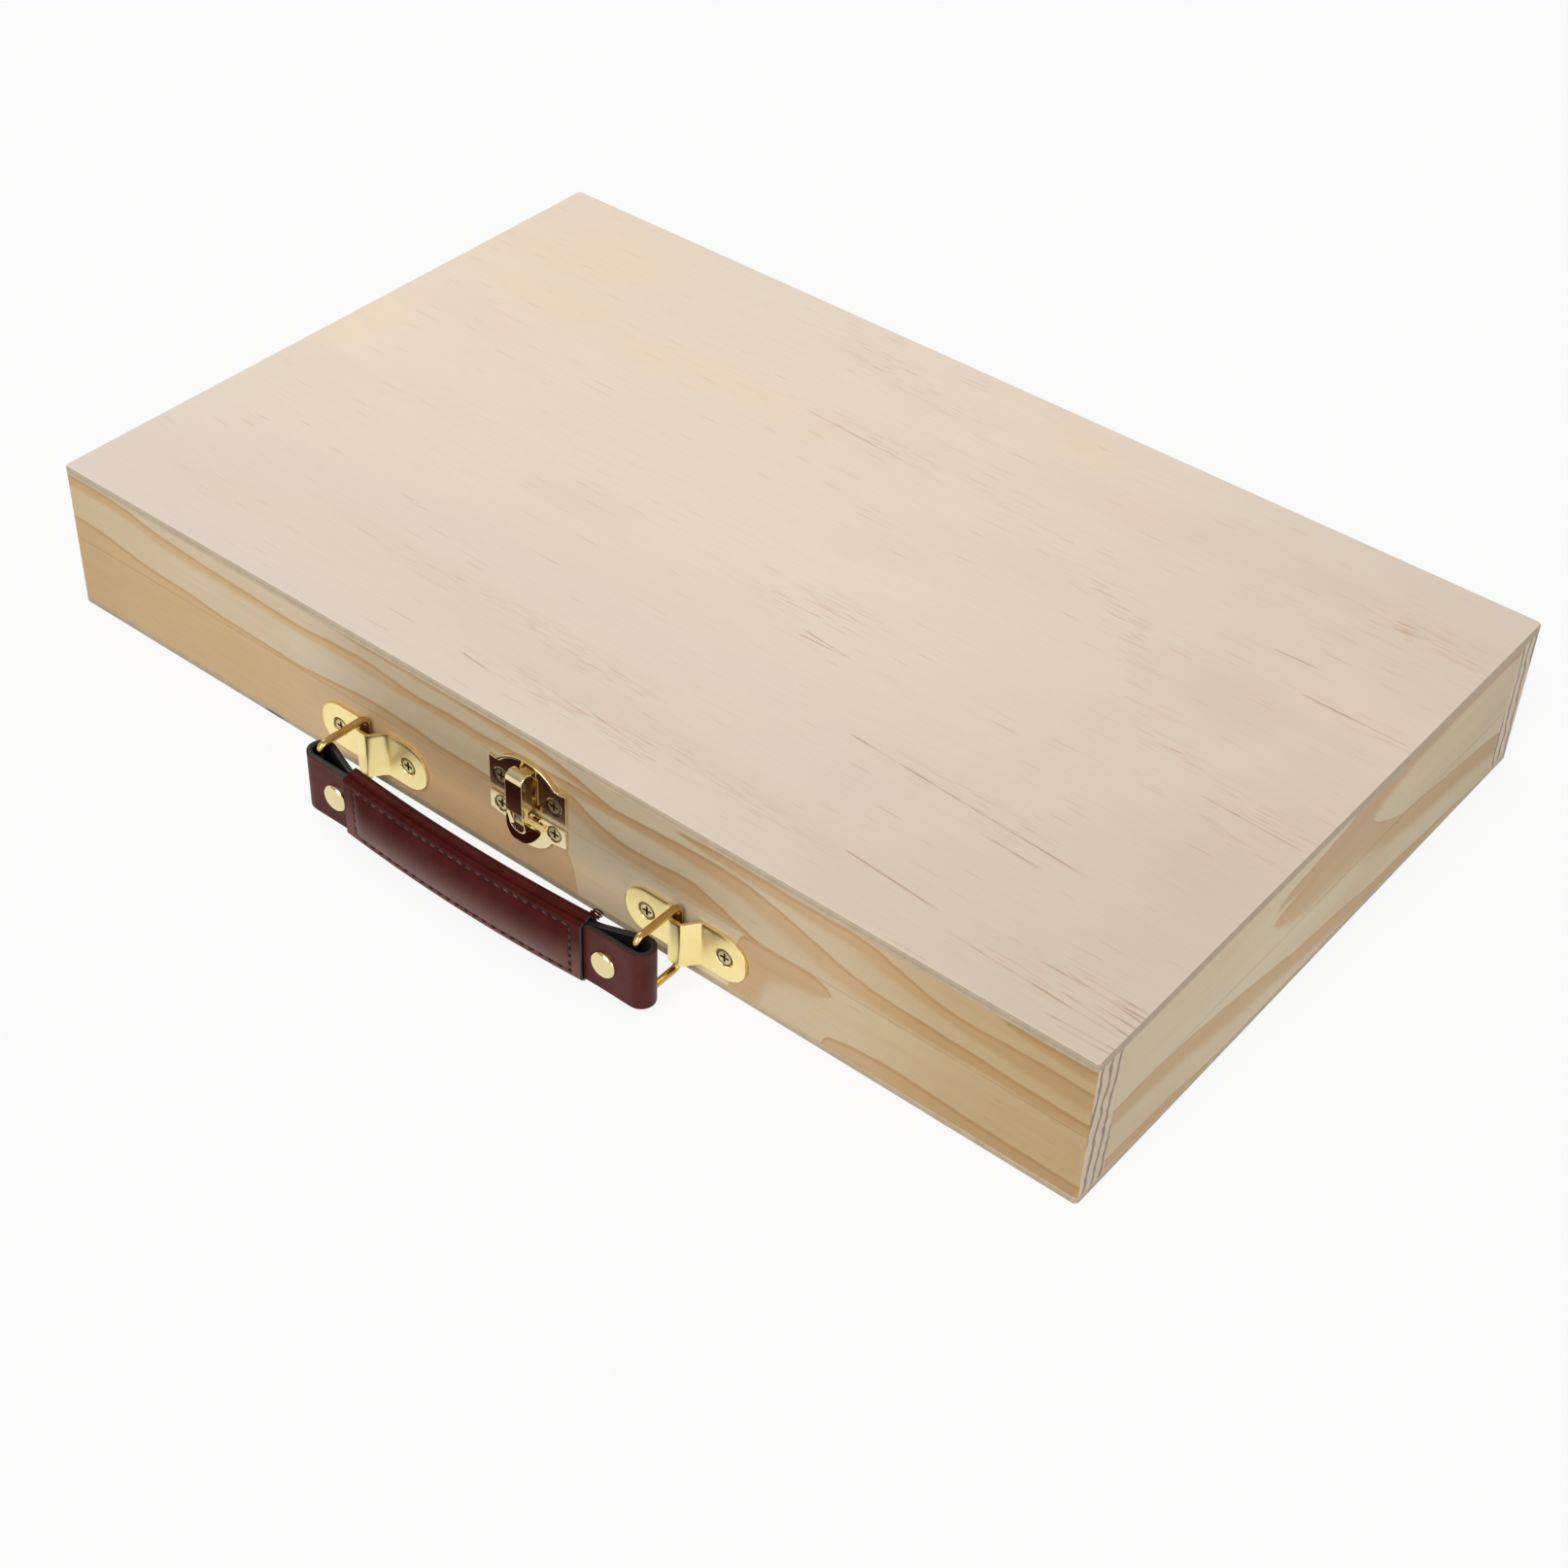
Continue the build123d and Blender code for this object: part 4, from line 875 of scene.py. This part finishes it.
for corner in shape.verts:
    out = front_y - corner.co.y - sleeve_out
    if out > front_skin - 0.03:
        corner.co.y -= pad_height(corner.co.x, corner.co.z)
    elif out < 0.01 - back_skin:
        corner.co.y += 0.4 * pad_height(corner.co.x, corner.co.z)
    corner.co.y -= bow(corner.co.x)
for edges, way in ((rail, 1), (first_rail, -1)):
    rim = drawn_out(shape, edges, (0.12 * way, 0, 0))
    for step, shrink in ((0.0, 0.85), (-0.12 * way, 0.66), (-3.0 * way, 1.0)):
        rim = drawn_out(shape, rim, (step, 0, 0))
        points = {point for edge in rim for point in edge.verts}
        middle = sum((point.co for point in points), Vector()) / len(points)
        for point in points:
            point.co.y = middle.y + (point.co.y - middle.y) * shrink
            point.co.z = handle_middle + (point.co.z - handle_middle) * (1.0 if shrink == 1.0 else 0.955)
for face in shape.faces:
    middle = face.calc_center_median()
    painted = middle.x > sleeve_right - 0.5 or middle.x < sleeve_left + 0.05 or abs(face.normal.x) > 0.8
    face.material_index = 1 if painted else 0
# the paler colour towards the sleeve's lower edge is a painted sheen
sleeve_leather = leather("sleeve_leather", linear(70, 20, 16), linear(58, 13, 9), 0.36, 1500.0, 0.06,
                         linear(112, 77, 71))
finishes = (sleeve_leather, edge_paint)
sleeve = add_piece("handle_sleeve_leather", shape, finishes, "handle", ("handle_sleeve",), sharp=180)
softened(sleeve, 1)

# ------------ stitching
# Heavy waxed thread in saddle stitch round the sleeve's rectangle, each stitch going down into an awl hole,
# shown as a dark bead of painted shade, and the frayed end of it standing up at the right end's back corner.
shape = bmesh.new()
random.seed(7)


def stitch(place, turn, length, width, side, finish_index):
    """One bead of thread, or one dark bead of painted shade for a hole, lying along the seam."""
    bead = bmesh.ops.create_uvsphere(shape, u_segments=10, v_segments=6, radius=0.5)["verts"]
    bmesh.ops.scale(shape, verts=bead, vec=(length, width * 0.9, width))
    bmesh.ops.rotate(shape, verts=bead, cent=(0, 0, 0), matrix=Matrix.Rotation(turn, 3, "Y"))
    x, z = place
    if side > 0:
        y = front_y - sleeve_out - bow(x) - front_skin - pad_height(x, z)
    else:
        y = front_y - sleeve_out - bow(x) + back_skin + 0.4 * pad_height(x, z)
    bmesh.ops.translate(shape, verts=bead, vec=(x, y - side * (0.0 if finish_index else 0.06), z))
    for face in {face for corner in bead for face in corner.link_faces}:
        face.material_index = finish_index


for side in (1, -1):
    for seam_z in (seam_bottom, seam_top):
        count = 24
        pitch = (seam_right - seam_left) / count
        for i in range(count):
            x = seam_left + (i + 0.5) * pitch
            lean = math.radians(random.uniform(4, 12)) * (1 if seam_z == seam_top else -1)
            stitch((x, seam_z), lean, 2.2, 0.62, side, 0)
            stitch((x + pitch / 2, seam_z), 0.0, 1.7, 1.15, side, 1)
    for seam_x in (seam_left, seam_right):
        count = 6
        pitch = (seam_top - seam_bottom) / count
        for i in range(count):
            z = seam_bottom + (i + 0.5) * pitch
            lean = math.radians(90 + random.uniform(-8, 8))
            stitch((seam_x, z), lean, 1.8, 0.58, side, 0)
            if i < count - 1:
                stitch((seam_x, z + pitch / 2), math.radians(90), 1.5, 1.05, side, 1)
for strand in range(9):
    strand_length = 2.2 + 0.3 * strand
    bend = math.radians(5 + 14 * strand)
    place = Vector((sleeve_right - 1.6 + 0.15 * strand, front_y - sleeve_out + 2.2, 22.2))
    for step in range(6):
        bead = bmesh.ops.create_uvsphere(shape, u_segments=6, v_segments=4, radius=0.5)["verts"]
        for face in {face for corner in bead for face in corner.link_faces}:
            face.material_index = 2
        bmesh.ops.scale(shape, verts=bead, vec=(0.95, 0.5, 0.5))
        way = Vector((math.cos(bend), 0.35 * math.sin(strand * 2.1), math.sin(bend)))
        bmesh.ops.rotate(shape, verts=bead, cent=(0, 0, 0), matrix=way.to_track_quat("X", "Z").to_matrix())
        place = place + way * strand_length / 6
        bmesh.ops.translate(shape, verts=bead, vec=place)
        bend -= math.radians(13 + 3 * strand)
stitch_thread = leather("stitch_thread", linear(104, 62, 58), linear(74, 34, 30), 0.6, 2600.0)
painted_shade_stitch_hole = leather("painted_shade_stitch_hole", linear(30, 6, 6), linear(22, 4, 4), 0.8, 1500.0)
frayed_thread = leather("frayed_thread", linear(84, 20, 14), linear(52, 8, 6), 0.8, 2600.0, 0.05)
finishes = (stitch_thread, painted_shade_stitch_hole, frayed_thread)
stitching = add_piece("sleeve_stitching", shape, finishes, "handle", sharp=180)

# ------------ handle rivets
# A domed brass cap on the front of each fold and a flat one on its back, joined by a post through the fold.
rivet_brass = brass("rivet_brass", linear(232, 216, 164), linear(222, 204, 148), 0.17)
shape = bmesh.new()
rivet_x, loop_flare = 48.4, math.radians(20.5)
cap = [(4.1, 0.0), (4.12, 0.3), (3.98, 0.75), (3.55, 1.15), (2.8, 1.45), (1.8, 1.63), (0.9, 1.7), (0.0, 1.72)]
back_cap = [(0.0, 0.9), (2.5, 0.85), (2.9, 0.6), (3.0, 0.0)]
post = [(1.5, 4.6), (1.5, 0.0)]
for side in (-1, 1):
    for profile, out in ((cap, 22.02), (back_cap, 17.0), (post, 17.4)):
        corners = [shape.verts.new((radius, 0, height)) for radius, height in profile]
        rail = [shape.edges.new(pair) for pair in zip(corners, corners[1:])]
        bmesh.ops.spin(shape, geom=corners + rail, cent=(0, 0, 0), axis=(0, 0, 1), angle=math.tau, steps=40,
                       use_merge=True, use_duplicate=False)
        points = {corner for face in shape.faces for corner in face.verts if not corner.tag}
        points |= set(corners)
        turn = Matrix.Rotation(math.radians(90), 3, "X")
        if profile is back_cap:
            turn = Matrix.Rotation(side * -loop_flare, 3, "Z") @ Matrix.Rotation(math.radians(-90), 3, "X")
        bmesh.ops.rotate(shape, verts=list(points), cent=(0, 0, 0), matrix=turn)
        bmesh.ops.translate(shape, verts=list(points), vec=(side * rivet_x, front_y - out, handle_middle))
        for corner in points:
            corner.tag = True
rivets = add_piece("handle_rivet_caps", shape, (rivet_brass,), "handle", ("handle_rivets",), sharp=50)
